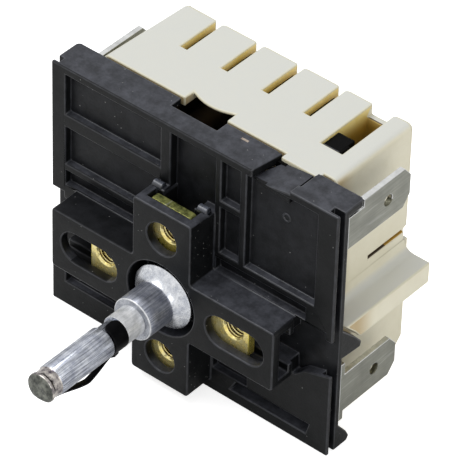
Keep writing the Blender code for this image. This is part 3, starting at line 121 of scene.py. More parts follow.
def per_mm(size: float) -> float:
    """The texture scale whose pattern repeats about every size millimetres."""
    return 1000.0 / size


def add(tree: Tree, kind: str, inputs: dict | None = None, **settings) -> bpy.types.Node:
    """Adds one node.

    Args:
        tree: The node tree that the node joins.
        kind: The node's type name.
        inputs: For each input's name or number, a value or the socket that feeds it.
        settings: Properties of the node itself.

    Returns:
        The new node.
    """
    node = tree.nodes.new(kind)
    for key, value in settings.items():
        setattr(node, key, value)
    for key, value in (inputs or {}).items():
        if isinstance(value, bpy.types.NodeSocket):
            tree.links.new(value, node.inputs[key])
        else:
            node.inputs[key].default_value = value
    return node


def upward(tree: Tree) -> Socket:
    """How far the surface looks up: the height of its normal, from -1 to 1."""
    geometry = add(tree, "ShaderNodeNewGeometry")
    return add(tree, "ShaderNodeSeparateXYZ", {0: geometry.outputs["Normal"]}).outputs["Z"]


class Lay(Enum):
    """Which way a worked metal's fine lines run, as the stretch of the pattern along X, Y and Z."""

    ALONG_X = (0.03, 1.0, 1.0)
    ALONG_Y = (1.0, 0.03, 1.0)
    NONE = (1.0, 1.0, 1.0)


@dataclass(frozen=True)
class Finish:
    """What every finish has: its name, its two tones and how glossy it is.

    The two tones are mixed in soft clouds, because no real surface is one flat colour. The gloss is
    the shader's own specular level, 0.5 for the usual resin.
    """

    name: str
    colour: str
    second: str
    cloud_mm: float
    roughness: float
    gloss: float = 0.5
    metallic: float = 0.0

    def material(self) -> bpy.types.Material:
        """The material of this finish, made once.

        Returns:
            A node-based material with this finish's name.
        """
        found = bpy.data.materials.get(self.name)
        if found is not None:
            return found
        made = bpy.data.materials.new(self.name)
        made.use_nodes = True
        tree = made.node_tree
        shader = tree.nodes["Principled BSDF"]
        shader.inputs["Metallic"].default_value = self.metallic
        shader.inputs["Specular IOR Level"].default_value = self.gloss
        place = add(tree, "ShaderNodeTexCoord").outputs["Object"]
        colour, rough, normal = self.surface(tree, place)
        tree.links.new(colour, shader.inputs["Base Color"])
        tree.links.new(rough, shader.inputs["Roughness"])
        tree.links.new(normal, shader.inputs["Normal"])
        return made

    def clouds(self, tree: Tree, place: Socket) -> Socket:
        """The two tones mixed in soft clouds.

        Args:
            tree: The material's node tree.
            place: The coordinates that the pattern reads.

        Returns:
            The mixed colour.
        """
        noise = add(tree, "ShaderNodeTexNoise", {
            "Vector": place, "Scale": per_mm(self.cloud_mm), "Detail": 5.0, "Roughness": 0.6})
        share = add(tree, "ShaderNodeMapRange", {
            "Value": noise.outputs["Fac"], "From Min": 0.35, "From Max": 0.65})
        return add(tree, "ShaderNodeMix", {
            0: share.outputs[0], 6: linear(self.colour), 7: linear(self.second)}, data_type="RGBA").outputs[2]

    def surface(self, tree: Tree, place: Socket) -> tuple[Socket, Socket, Socket]:
        """Builds the finish's colour, roughness and normal; each kind of finish has its own."""
        raise NotImplementedError


@dataclass(frozen=True)
class MouldedPlastic(Finish):
    """A moulded thermoset: fine grain, a film of dust and painted light from above on what faces up, and
    stray pale specks.

    The real grain is finer than a render shows, so it is drawn as coarse as it needs to be.
    """

    grain_mm: float = 0.25
    grain: float = 0.1
    grain_deep: float = 0.05 * MM
    roughness_play: float = 0.06
    dust_and_top_light: str = "#5c5d61"
    dust_and_top_light_share: float = 0.5
    dust_and_top_light_thin: float = 0.35
    dust_and_top_light_mm: float = 1.6
    speck: str = "#b8b8b6"
    speck_share: float = 0.0
    speck_mm: float = 0.55
    speck_size: float = 0.15
    speck_faintest: float = 0.06
    speck_strongest: float = 0.55

    def dusted_and_top_lit(self, tree: Tree, place: Socket, colour: Socket) -> Socket:
        """Lays a patchy film on what faces up: dust, and painted light from above.

        Args:
            tree: The material's node tree.
            place: The coordinates that the patterns read.
            colour: The colour under the film.

        Returns:
            The colour with its film.
        """
        film = add(tree, "ShaderNodeTexNoise", {
            "Vector": place, "Scale": per_mm(self.dust_and_top_light_mm), "Detail": 6.0, "Roughness": 0.7})
        level = add(tree, "ShaderNodeMapRange", {
            "Value": upward(tree), "From Min": 0.45, "From Max": 0.95, "To Max": self.dust_and_top_light_share,
        }, interpolation_type="SMOOTHSTEP")
        patches = add(tree, "ShaderNodeMapRange", {
            "Value": film.outputs["Fac"], "From Min": NOISE_LOW, "From Max": 0.75, "To Min": self.dust_and_top_light_thin,
        }, interpolation_type="SMOOTHSTEP")
        dust_and_light_share = add(tree, "ShaderNodeMath", {
            0: level.outputs[0], 1: patches.outputs[0]}, operation="MULTIPLY")
        return add(tree, "ShaderNodeMix", {
            0: dust_and_light_share.outputs[0], 6: colour, 7: linear(self.dust_and_top_light)}, data_type="RGBA").outputs[2]

    def specked(self, tree: Tree, place: Socket, colour: Socket) -> Socket:
        """Scatters pale specks of different sizes and strengths.

        Args:
            tree: The material's node tree.
            place: The coordinates that the pattern reads.
            colour: The colour between the specks.

        Returns:
            The colour with its specks.
        """
        cells = add(tree, "ShaderNodeTexVoronoi", {"Vector": place, "Scale": per_mm(self.speck_mm)})
        chosen = add(tree, "ShaderNodeSeparateColor", {0: cells.outputs["Color"]})
        size = add(tree, "ShaderNodeMapRange", {
            "Value": chosen.outputs["Red"], "From Min": 1.0 - self.speck_share, "To Max": self.speck_size,
        }, interpolation_type="SMOOTHSTEP")
        near = add(tree, "ShaderNodeMath", {
            0: cells.outputs["Distance"], 1: size.outputs[0]}, operation="LESS_THAN")
        strength = add(tree, "ShaderNodeMapRange", {
            "Value": chosen.outputs["Green"], "To Min": self.speck_faintest, "To Max": self.speck_strongest,
        }, interpolation_type="SMOOTHSTEP")
        share = add(tree, "ShaderNodeMath", {
            0: near.outputs[0], 1: strength.outputs[0]}, operation="MULTIPLY")
        return add(tree, "ShaderNodeMix", {
            0: share.outputs[0], 6: colour, 7: linear(self.speck)}, data_type="RGBA").outputs[2]

    def surface(self, tree: Tree, place: Socket) -> tuple[Socket, Socket, Socket]:
        """Builds the finish.

        Args:
            tree: The material's node tree.
            place: The coordinates that the patterns read.

        Returns:
            The sockets for colour, roughness and normal.
        """
        colour = self.clouds(tree, place)
        # A film on what faces up: dust, and painted light from above.
        if self.dust_and_top_light_share:
            colour = self.dusted_and_top_lit(tree, place, colour)
        if self.speck_share:
            colour = self.specked(tree, place, colour)
        grain = add(tree, "ShaderNodeTexNoise", {
            "Vector": place, "Scale": per_mm(self.grain_mm), "Detail": 3.0}).outputs["Fac"]
        rough = add(tree, "ShaderNodeMapRange", {
            "Value": grain, "From Min": NOISE_LOW, "From Max": NOISE_HIGH,
            "To Min": self.roughness - self.roughness_play, "To Max": self.roughness + self.roughness_play,
        }, interpolation_type="SMOOTHSTEP")
        bump = add(tree, "ShaderNodeBump", {
            "Height": grain, "Strength": self.grain, "Distance": self.grain_deep})
        return colour, rough.outputs[0], bump.outputs["Normal"]


@dataclass(frozen=True)
class UreaIvory(MouldedPlastic):
    """Ivory urea resin, with golden-brown shade painted on its side walls where they meet the black cover."""

    side_shade: str = "#a98a4a"
    side_shade_share: float = 0.75
    joint: float = 10.0 * MM
    reach: float = 4.5 * MM

    def surface(self, tree: Tree, place: Socket) -> tuple[Socket, Socket, Socket]:
        """Builds the finish, as MouldedPlastic does, and paints golden-brown shade on its sides towards the
        cover.

        Args:
            tree: The material's node tree.
            place: The coordinates that the patterns read.

        Returns:
            The sockets for colour, roughness and normal.
        """
        colour, rough, normal = super().surface(tree, place)
        depth = add(tree, "ShaderNodeSeparateXYZ", {0: place}).outputs["Y"]
        near_cover = add(tree, "ShaderNodeMapRange", {
            "Value": depth, "From Min": self.joint, "From Max": self.joint + self.reach,
            "To Min": self.side_shade_share, "To Max": 0.0,
        }, interpolation_type="SMOOTHSTEP")
        upright = add(tree, "ShaderNodeMapRange", {
            "Value": upward(tree), "From Min": 0.3, "From Max": 0.9, "To Min": 1.0, "To Max": 0.0,
        }, interpolation_type="SMOOTHSTEP")
        share = add(tree, "ShaderNodeMath", {
            0: near_cover.outputs[0], 1: upright.outputs[0]}, operation="MULTIPLY")
        # Painted shade, golden brown, on the side walls near the cover.
        side_shaded = add(tree, "ShaderNodeMix", {
            0: share.outputs[0], 6: colour, 7: linear(self.side_shade)}, data_type="RGBA")
        return side_shaded.outputs[2], rough, normal


@dataclass(frozen=True)
class ThroughLitPlastic(MouldedPlastic):
    """The inner wall of a narrow slot in pale plastic: the light through it turns amber with depth."""

    deep: str = "#7a5a1c"
    top: float = COVER_TOP
    depth: float = 3.2 * MM

    def surface(self, tree: Tree, place: Socket) -> tuple[Socket, Socket, Socket]:
        """Builds the finish, as MouldedPlastic does, and deepens its colour downwards.

        Args:
            tree: The material's node tree.
            place: The coordinates that the patterns read.

        Returns:
            The sockets for colour, roughness and normal.
        """
        colour, rough, normal = super().surface(tree, place)
        height = add(tree, "ShaderNodeSeparateXYZ", {0: place}).outputs["Z"]
        share = add(tree, "ShaderNodeMapRange", {
            "Value": height, "From Min": self.top - self.depth, "From Max": self.top,
            "To Min": 1.0, "To Max": 0.0,
        }, interpolation_type="SMOOTHSTEP")
        deepened = add(tree, "ShaderNodeMix", {
            0: share.outputs[0], 6: colour, 7: linear(self.deep)}, data_type="RGBA")
        return deepened.outputs[2], rough, normal


@dataclass(frozen=True)
class WorkedMetal(Finish):
    """A rolled, drawn, turned or plated metal: fine lines along its working direction, and scratches.

    The real lines are finer than a render shows, so they are drawn as coarse as they need to be.
    """

    lay: Lay = Lay.NONE
    line_mm: float = 0.15
    line_dark: str = "#3c3e42"
    contrast: float = 0.15
    bump: float = 0.1
    bump_deep: float = 0.02 * MM
    smoother: float = 0.08
    rougher: float = 0.1
    scratch: float = 0.0
    scratch_mm: float = 0.5
    scratch_bright: str = "#f0f0ee"
    scratch_turn: Point = (0.5, 0.7, 0.4)
    scratch_stretch: Point = (1.0, 0.06, 1.0)
    metallic: float = 1.0

    def scratched(self, tree: Tree, place: Socket, colour: Socket) -> Socket:
        """Draws long bright scratches across the lines.

        Args:
            tree: The material's node tree.
            place: The coordinates that the pattern reads.
            colour: The colour under the scratches.

        Returns:
            The colour with its scratches.
        """
        turned = add(tree, "ShaderNodeMapping", {
            "Vector": place, "Rotation": self.scratch_turn, "Scale": self.scratch_stretch})
        marks = add(tree, "ShaderNodeTexNoise", {
            "Vector": turned.outputs[0], "Scale": per_mm(self.scratch_mm), "Detail": 2.0})
        share = add(tree, "ShaderNodeMapRange", {
            "Value": marks.outputs["Fac"], "From Min": 0.62, "From Max": 0.7, "To Max": self.scratch,
        }, interpolation_type="SMOOTHSTEP")
        return add(tree, "ShaderNodeMix", {
            0: share.outputs[0], 6: colour, 7: linear(self.scratch_bright)}, data_type="RGBA").outputs[2]

    def surface(self, tree: Tree, place: Socket) -> tuple[Socket, Socket, Socket]:
        """Builds the finish.

        Args:
            tree: The material's node tree.
            place: The coordinates that the patterns read.

        Returns:
            The sockets for colour, roughness and normal.
        """
        along = add(tree, "ShaderNodeVectorMath", {0: place, 1: self.lay.value}, operation="MULTIPLY")
        lines = add(tree, "ShaderNodeTexNoise", {
            "Vector": along.outputs[0], "Scale": per_mm(self.line_mm), "Detail": 4.0, "Roughness": 0.65,
        }).outputs["Fac"]
        shade = add(tree, "ShaderNodeMapRange", {
            "Value": lines, "From Min": NOISE_LOW, "From Max": NOISE_HIGH, "To Max": self.contrast,
        }, interpolation_type="SMOOTHSTEP")
        colour = add(tree, "ShaderNodeMix", {
            0: shade.outputs[0], 6: self.clouds(tree, place), 7: linear(self.line_dark),
        }, data_type="RGBA", blend_type="MULTIPLY").outputs[2]
        if self.scratch:
            colour = self.scratched(tree, place, colour)
        rough = add(tree, "ShaderNodeMapRange", {
            "Value": lines, "From Min": NOISE_LOW, "From Max": NOISE_HIGH,
            "To Min": self.roughness - self.smoother, "To Max": self.roughness + self.rougher,
        }, interpolation_type="SMOOTHSTEP")
        relief = add(tree, "ShaderNodeBump", {
            "Height": lines, "Strength": self.bump, "Distance": self.bump_deep})
        return colour, rough.outputs[0], relief.outputs["Normal"]


# Phenolic resin, compression moulded: near black with a satin skin, and pale dust caught on it; the pale film
# on what faces up is also painted light from above.
PHENOLIC = MouldedPlastic(
    "black_phenolic_moulded", "#0c0d0e", "#151617", 2.2, 0.4, gloss=0.15, grain_mm=0.3, grain=0.3,
    dust_and_top_light="#5b5d65", dust_and_top_light_share=0.68, speck_share=0.22)
# The same resin along its rounded edges, rubbed paler by handling and painted lighter still as the edges'
# highlight.
PHENOLIC_EDGE_HIGHLIGHT = MouldedPlastic(
    "black_phenolic_edge_painted_highlight", "#151619", "#2c2e33", 1.1, 0.36, gloss=0.4, grain_mm=0.3, grain=0.3,
    dust_and_top_light="#5c5e66", dust_and_top_light_share=0.6)
# The same resin on the sunk panels, where a thin even film of dust makes it greyer, and on the left arm's
# top, which gets no pale top film and stays darker as painted shade.
PHENOLIC_PANEL = MouldedPlastic(
    "black_phenolic_dusty_panel", "#111214", "#1f2023", 2.2, 0.42, gloss=0.15, grain_mm=0.3, grain=0.3,
    dust_and_top_light_share=0.0, speck_share=0.16)
# The same resin painted near black as shade: what stands behind the plate, the latch's back and the webs.
PHENOLIC_SHADE = MouldedPlastic(
    "black_phenolic_painted_shade", "#040404", "#080808", 1.5, 0.4, gloss=0.04, dust_and_top_light_share=0.0)
# The same resin on the noses, glossy where the nut plate rubs, and painted paler with a pale top as their
# highlight.
PHENOLIC_NOSE_HIGHLIGHT = MouldedPlastic(
    "black_phenolic_nose_painted_highlight", "#1d1f24", "#2f323a", 0.8, 0.28, gloss=0.7, dust_and_top_light="#767b88", dust_and_top_light_share=0.6)
# A fresh chip in the cover's rear edge, pale and chalky.
CHIPPED = MouldedPlastic("phenolic_chip", "#b3a698", "#7d6f66", 0.4, 0.7, dust_and_top_light_share=0.0)
# Urea resin, moulded: ivory, smooth, faintly cloudy, with golden-brown shade painted on the sides beside the
# cover and a cooler grey painted on what faces up for the light from above.
IVORY = UreaIvory(
    "ivory_urea_moulded", "#e6e1ca", "#dfd9c0", 6.0, 0.42, grain_mm=0.6, grain=0.06,
    dust_and_top_light="#d0d1cb", dust_and_top_light_share=0.98, dust_and_top_light_thin=0.93)
# The same urea resin along its edges, where light comes through the thin material; a cooler grey is painted
# on what faces up for the light from above.
IVORY_EDGE = MouldedPlastic(
    "ivory_urea_edge", "#ddd8c0", "#d3ccb0", 3.0, 0.4, grain_mm=0.6, grain=0.06,
    dust_and_top_light="#d6d5c6", dust_and_top_light_share=0.9, dust_and_top_light_thin=0.8)
# The same urea resin where its thin walls are lit from behind: amber, browner with depth.
IVORY_SLOT = ThroughLitPlastic(
    "ivory_urea_slot_wall", "#fbe9a8", "#f2dc88", 3.0, 0.5, dust_and_top_light_share=0.0, deep="#b8923a")
# The same urea resin inside the hollow and in the slit's front, painted dark brown as shade.
IVORY_INSIDE_SHADE = MouldedPlastic("ivory_urea_inside_painted_shade", "#5a4a34", "#3f3324", 3.0, 0.55, dust_and_top_light_share=0.0)
# Tin-plated strip, rolled and stamped: dull grey-white, with rolling lines along the blade.
TIN_PLATE = WorkedMetal(
    "tin_plated_strip_rolled", "#97988f", "#888981", 3.5, 0.45, lay=Lay.ALONG_Y, line_mm=0.35,
    contrast=0.06, bump=0.05, scratch=0.1)
# The wall of the punched hole: bare and dull.
TIN_HOLE = WorkedMetal("punched_hole_dull", "#7d7c6c", "#605f52", 0.8, 0.5, line_mm=0.2, contrast=0.2)
# The strip's sheared edges, where the tin is smeared, painted bright as their highlight.
TIN_EDGE_HIGHLIGHT = WorkedMetal(
    "tin_plated_strip_edge_painted_highlight", "#dcdddc", "#c4c5c4", 1.5, 0.35, lay=Lay.ALONG_X, line_mm=0.2,
    contrast=0.1)
# Zinc plating with a yellow chromate: brassy, greenish in places, glossy inside the tapped collar.
YELLOW_ZINC = WorkedMetal(
    "yellow_zinc_plated_steel", "#f9e174", "#e2d565", 3.5, 0.3, line_mm=0.8, contrast=0.02, bump=0.0,
    metallic=0.75)
# The plate's sheared end, where the chromate has gone green and is rubbed through in spots.
ZINC_END = WorkedMetal(
    "yellow_zinc_sheared_end", "#b4b86c", "#4f5530", 0.8, 0.34, line_mm=0.3, contrast=0.2, bump=0.05,
    metallic=0.6, scratch=0.3)
# The front of each thread, painted near white as its highlight.
THREAD_HIGHLIGHT = WorkedMetal(
    "yellow_zinc_thread_painted_highlight", "#fff3b4", "#ffe888", 0.8, 0.22, line_mm=0.8, contrast=0.02, bump=0.0,
    metallic=0.6)
# The rest of the thread, painted brown as its shade.
THREAD_SHADE = WorkedMetal(
    "yellow_zinc_thread_painted_shade", "#a8741f", "#5e3c0b", 0.7, 0.3, line_mm=0.3, contrast=0.1, metallic=0.8)
# Drawn steel rod, bright, with the die's lines along it, drawn in strong contrast as painted reflection
# streaks.
DRAWN_STEEL = WorkedMetal(
    "drawn_steel_bright", "#e2e6ee", "#b0b5c3", 1.4, 0.27, lay=Lay.ALONG_Y, line_mm=0.16,
    contrast=0.75, bump=0.35)
# The shaft's end, sheared and tumbled: dull, mottled and dark.
WORN_TIP = WorkedMetal(
    "sheared_steel_end", "#85877f", "#4c4e4b", 0.7, 0.42, line_mm=0.3, contrast=0.3, bump=0.5)
# Burnished steel: bright and satin where the clip and the knob rub.
BURNISHED = WorkedMetal(
    "burnished_steel", "#f4f5f7", "#cfd1d3", 0.8, 0.42, lay=Lay.ALONG_Y, line_mm=0.2, contrast=0.2,
    metallic=0.5)
# The groove behind the tip: turned smooth, with dark and bright patches of tarnish.
POLISHED_GROOVE = WorkedMetal(
    "turned_groove_tarnished", "#d9d3cb", "#544e57", 0.9, 0.2, line_mm=0.3, contrast=0.2)
# Turned zinc-plated collar: bluish grey, scratched along its length by the knob, with strong lengthwise
# streaks of painted reflection.
TURNED_COLLAR = WorkedMetal(
    "turned_collar_zinc_plated", "#c4c8d4", "#8f94a4", 1.2, 0.4, lay=Lay.ALONG_Y, line_mm=0.16,
    contrast=0.65, bump=0.3, metallic=0.75)
# The collar's nose, rubbed matt by the knob's hub: paler.
COLLAR_NOSE = WorkedMetal(
    "turned_collar_rubbed_nose", "#b9bcc3", "#9598a0", 1.0, 0.3, line_mm=0.25, contrast=0.2, bump=0.1)
# The collar's bell: rolled bright, with handling marks.
COLLAR_BELL = WorkedMetal(
    "turned_collar_bell_bright", "#f6f8fb", "#c6cad3", 1.2, 0.27, lay=Lay.ALONG_Y, line_mm=0.2,
    contrast=0.35, bump=0.2, scratch=0.15, metallic=0.95)
# Oxide-blackened spring strip, oiled: black and satin.
BLACK_SPRING = WorkedMetal(
    "blackened_spring_strip", "#121214", "#1b1b1d", 1.5, 0.42, lay=Lay.ALONG_Y, line_mm=0.3, contrast=0.2)
# Spring wire and stampings inside, bright and lightly oiled.
SPRING_STEEL = WorkedMetal("spring_steel_bright", "#a7a9ac", "#8f9194", 1.0, 0.3, line_mm=0.2, contrast=0.2)
# Nylon cam, injection moulded: creamy, smooth.
NYLON = MouldedPlastic("nylon_cam_moulded", "#cfcab8", "#c4bea8", 2.5, 0.4, grain=0.05, dust_and_top_light_share=0.0)
# Zinc-plated pressed lever: pale grey with faint press marks.
PRESSED_ZINC = WorkedMetal(
    "pressed_zinc_plated_lever", "#c2c3bf", "#a5a6a0", 1.4, 0.36, lay=Lay.ALONG_X, line_mm=0.25,
    contrast=0.2)
# Rolled bimetal: brownish nickel-steel grey with rolling lines along the strip.
BIMETAL = WorkedMetal(
    "rolled_bimetal_strip", "#b0a48c", "#97896e", 1.6, 0.36, lay=Lay.ALONG_X, line_mm=0.2, contrast=0.25)
# Fired ceramic heater sleeve: chalky and warm white.
CERAMIC = MouldedPlastic(
    "fired_ceramic_sleeve", "#dcd3c4", "#cbbfa9", 1.0, 0.75, grain_mm=0.2, grain=0.4, dust_and_top_light_share=0.0)
# Spring bronze strip, rolled: reddish gold with rolling lines along it.
BRONZE = WorkedMetal(
    "rolled_spring_bronze", "#c08a48", "#a06f36", 1.8, 0.32, lay=Lay.ALONG_X, line_mm=0.2, contrast=0.2)
# Silver rivet contact: white and slightly tarnished.
SILVER = WorkedMetal("silver_contact_rivet", "#dcdad2", "#bdb8a8", 0.8, 0.25, line_mm=0.2, contrast=0.1)
# Brown phenolic button that insulates the line blade from the cam.
BROWN_BUTTON = MouldedPlastic("brown_phenolic_button", "#6e4530", "#5c3826", 1.0, 0.45, dust_and_top_light_share=0.0)


# Meshes


def node_mesh(node: str) -> Shape:
    """A CAD node's shape as one closed mesh.

    Args:
        node: The CAD node's name.

    Returns:
        A new bmesh, with its loose triangles merged and its flat areas cut again into even triangles,
        on which a bevel can't fold a large face over.
    """
    bm = bmesh.new()
    bm.from_mesh(frame["nodes"][node].data)
    bmesh.ops.remove_doubles(bm, verts=bm.verts, dist=MERGE)
    bmesh.ops.dissolve_limit(bm, angle_limit=math.radians(1.0), verts=bm.verts, edges=bm.edges)
    bmesh.ops.triangulate(bm, faces=bm.faces, quad_method="BEAUTY", ngon_method="BEAUTY")
    return bm


def sharp_edges(bm: Shape, least: float = 40.0, wanted: Callable[[Edge], bool] | None = None) -> list[Edge]:
    """The edges whose faces meet at more than an angle.

    Args:
        bm: The mesh.
        least: The angle in degrees.
        wanted: A test that an edge must also pass.

    Returns:
        The edges found.
    """
    found = []
    for edge in bm.edges:
        sharp = len(edge.link_faces) == 2 and edge.calc_face_angle(0.0) > math.radians(least)
        if sharp and (wanted is None or wanted(edge)):
            found.append(edge)
    return found


def soften(bm: Shape, edges: Iterable[Edge], width: float, segments: int = 2,
           material: int | None = None) -> None:
    """Rounds edges over, as a mould or a tumbling barrel leaves them.

    Args:
        bm: The mesh.
        edges: The edges to round.
        width: How far the round reaches from the edge.
        segments: How many faces the round has.
        material: The material number that the rounds get, where it isn't the one beside them.
    """
    made = bmesh.ops.bevel(
        bm, geom=list(edges), offset=width, offset_type="OFFSET", affect="EDGES", segments=segments,
        profile=0.5, clamp_overlap=False, material=-1)
    if material is not None:
        for face in made["faces"]:
            face.material_index = material


def spun(profile: Iterable[tuple[float, float]], centre: Point, axis: str, steps: int,
         closed: bool = False) -> Shape:
    """A profile turned about an axis.

    Args:
        profile: Points as (place along the axis, radius).
        centre: A point on the axis.
        axis: X or Y.
        steps: How many steps a full turn has.
        closed: Whether the profile's last point joins its first, as on a ring.

    Returns:
        A new bmesh with its normals outwards.
    """
    way = Vector((1, 0, 0)) if axis == "X" else Vector((0, 1, 0))
    out = Vector((0, 0, 1))
    bm = bmesh.new()
    verts = [bm.verts.new(Vector(centre) + way * along + out * radius) for along, radius in profile]
    edges = [bm.edges.new(pair) for pair in zip(verts, verts[1:])]
    if closed:
        edges.append(bm.edges.new((verts[-1], verts[0])))
    bmesh.ops.spin(
        bm, geom=verts + edges, cent=centre, axis=way, angle=2 * math.pi, steps=steps, use_merge=True)
    bmesh.ops.remove_doubles(bm, verts=bm.verts, dist=MERGE / 2)
    bmesh.ops.recalc_face_normals(bm, faces=bm.faces)
    return bm


def boxed(low: Point, high: Point) -> Shape:
    """A box between two corners.

    Args:
        low: The lowest corner.
        high: The highest corner.

    Returns:
        A new bmesh.
    """
    bm = bmesh.new()
    size = Vector(high) - Vector(low)
    matrix = Matrix.Translation((Vector(high) + Vector(low)) / 2) @ Matrix.Diagonal((*size, 1.0))
    bmesh.ops.create_cube(bm, size=1.0, matrix=matrix)
    return bm


def halves(block: Block, at: Vector) -> tuple[bool, bool, bool]:
    """Whether a point is in the right, the rear and the upper half of a block."""
    return tuple(place > (low + high) / 2 for place, low, high in zip(at, *block))


def mesh_object(name: str, bm: Shape) -> bpy.types.Object:
    """Makes an object at the origin.

    Args:
        name: The object's name.
        bm: Its finished mesh, which is used up.

    Returns:
        The object, in the scene.
    """
    mesh = bpy.data.meshes.new(name)
    bm.to_mesh(mesh)
    bm.free()
    obj = bpy.data.objects.new(name, mesh)
    bpy.context.scene.collection.objects.link(obj)
    return obj


def gathered(first: Shape, others: Iterable[Shape]) -> Shape:
    """Puts several shapes into one mesh, as they stand.

    Args:
        first: The shape that takes the others.
        others: The shapes to add, which are used up.

    Returns:
        The first shape.
    """
    for other in others:
        mesh = bpy.data.meshes.new("shape")
        other.to_mesh(mesh)
        other.free()
        first.from_mesh(mesh)
        bpy.data.meshes.remove(mesh)
    return first


def carve(obj: bpy.types.Object, tools: list[Shape], operation: str = "DIFFERENCE") -> None:
    """Cuts tools from an object, or joins them to it, and works the change into its mesh.

    Args:
        obj: The object.
        tools: The shapes to cut or join, which are used up.
        operation: Blender's name for the Boolean.
    """
    helpers = [mesh_object("tool", tool) for tool in tools]
    for helper in helpers:
        change = obj.modifiers.new("Carve", "BOOLEAN")
        change.operation = operation
        change.object = helper
    bpy.context.view_layer.update()
    mesh = bpy.data.meshes.new_from_object(obj.evaluated_get(bpy.context.evaluated_depsgraph_get()))
    obj.modifiers.clear()
    obj.data = mesh
    for helper in helpers:
        bpy.data.objects.remove(helper)


def paint(faces: Iterable, finishes: tuple[Finish, ...], finish: Finish) -> None:
    """Gives faces the number of a finish.

    Args:
        faces: The faces, of a bmesh or of a mesh.
        finishes: The finishes of the piece that the faces belong to.
        finish: The one that they get.
    """
    number = finishes.index(finish)
    for face in faces:
        face.material_index = number


def show(obj: bpy.types.Object, finishes: tuple[Finish, ...], node: str, weighted: bool = True) -> None:
    """Finishes a piece: shading, materials, its body, and the CAD node that it stands for.

    Args:
        obj: The new piece.
        finishes: Its finishes, in the order of its faces' material numbers.
        node: The CAD node that it replaces.
        weighted: Whether large faces keep their flat shading next to rounds.
    """
    numbers = [face.material_index for face in obj.data.polygons]
    obj.data.materials.clear()
    for finish in finishes:
        obj.data.materials.append(finish.material())
    obj.data.polygons.foreach_set("material_index", numbers)
    obj.data.shade_smooth()
    obj.data.set_sharp_from_angle(angle=SMOOTH_BELOW)
    if weighted:
        change = obj.modifiers.new("Flats", "WEIGHTED_NORMAL")
        change.keep_sharp = True
    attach(obj, BODIES[node])
    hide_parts(node)
    LOG.info("%s stands for %s with %d faces", obj.name, node, len(obj.data.polygons))


def dress(node: str, finish: Finish) -> None:
    """Gives a CAD node that is shown as it is its finish.

    Args:
        node: The CAD node's name.
        finish: The finish of all its faces.
    """
    obj = frame["nodes"][node]
    obj.data.materials.clear()
    obj.data.materials.append(finish.material())
    LOG.info("%s keeps its CAD shape", node)


# Sub-assemblies


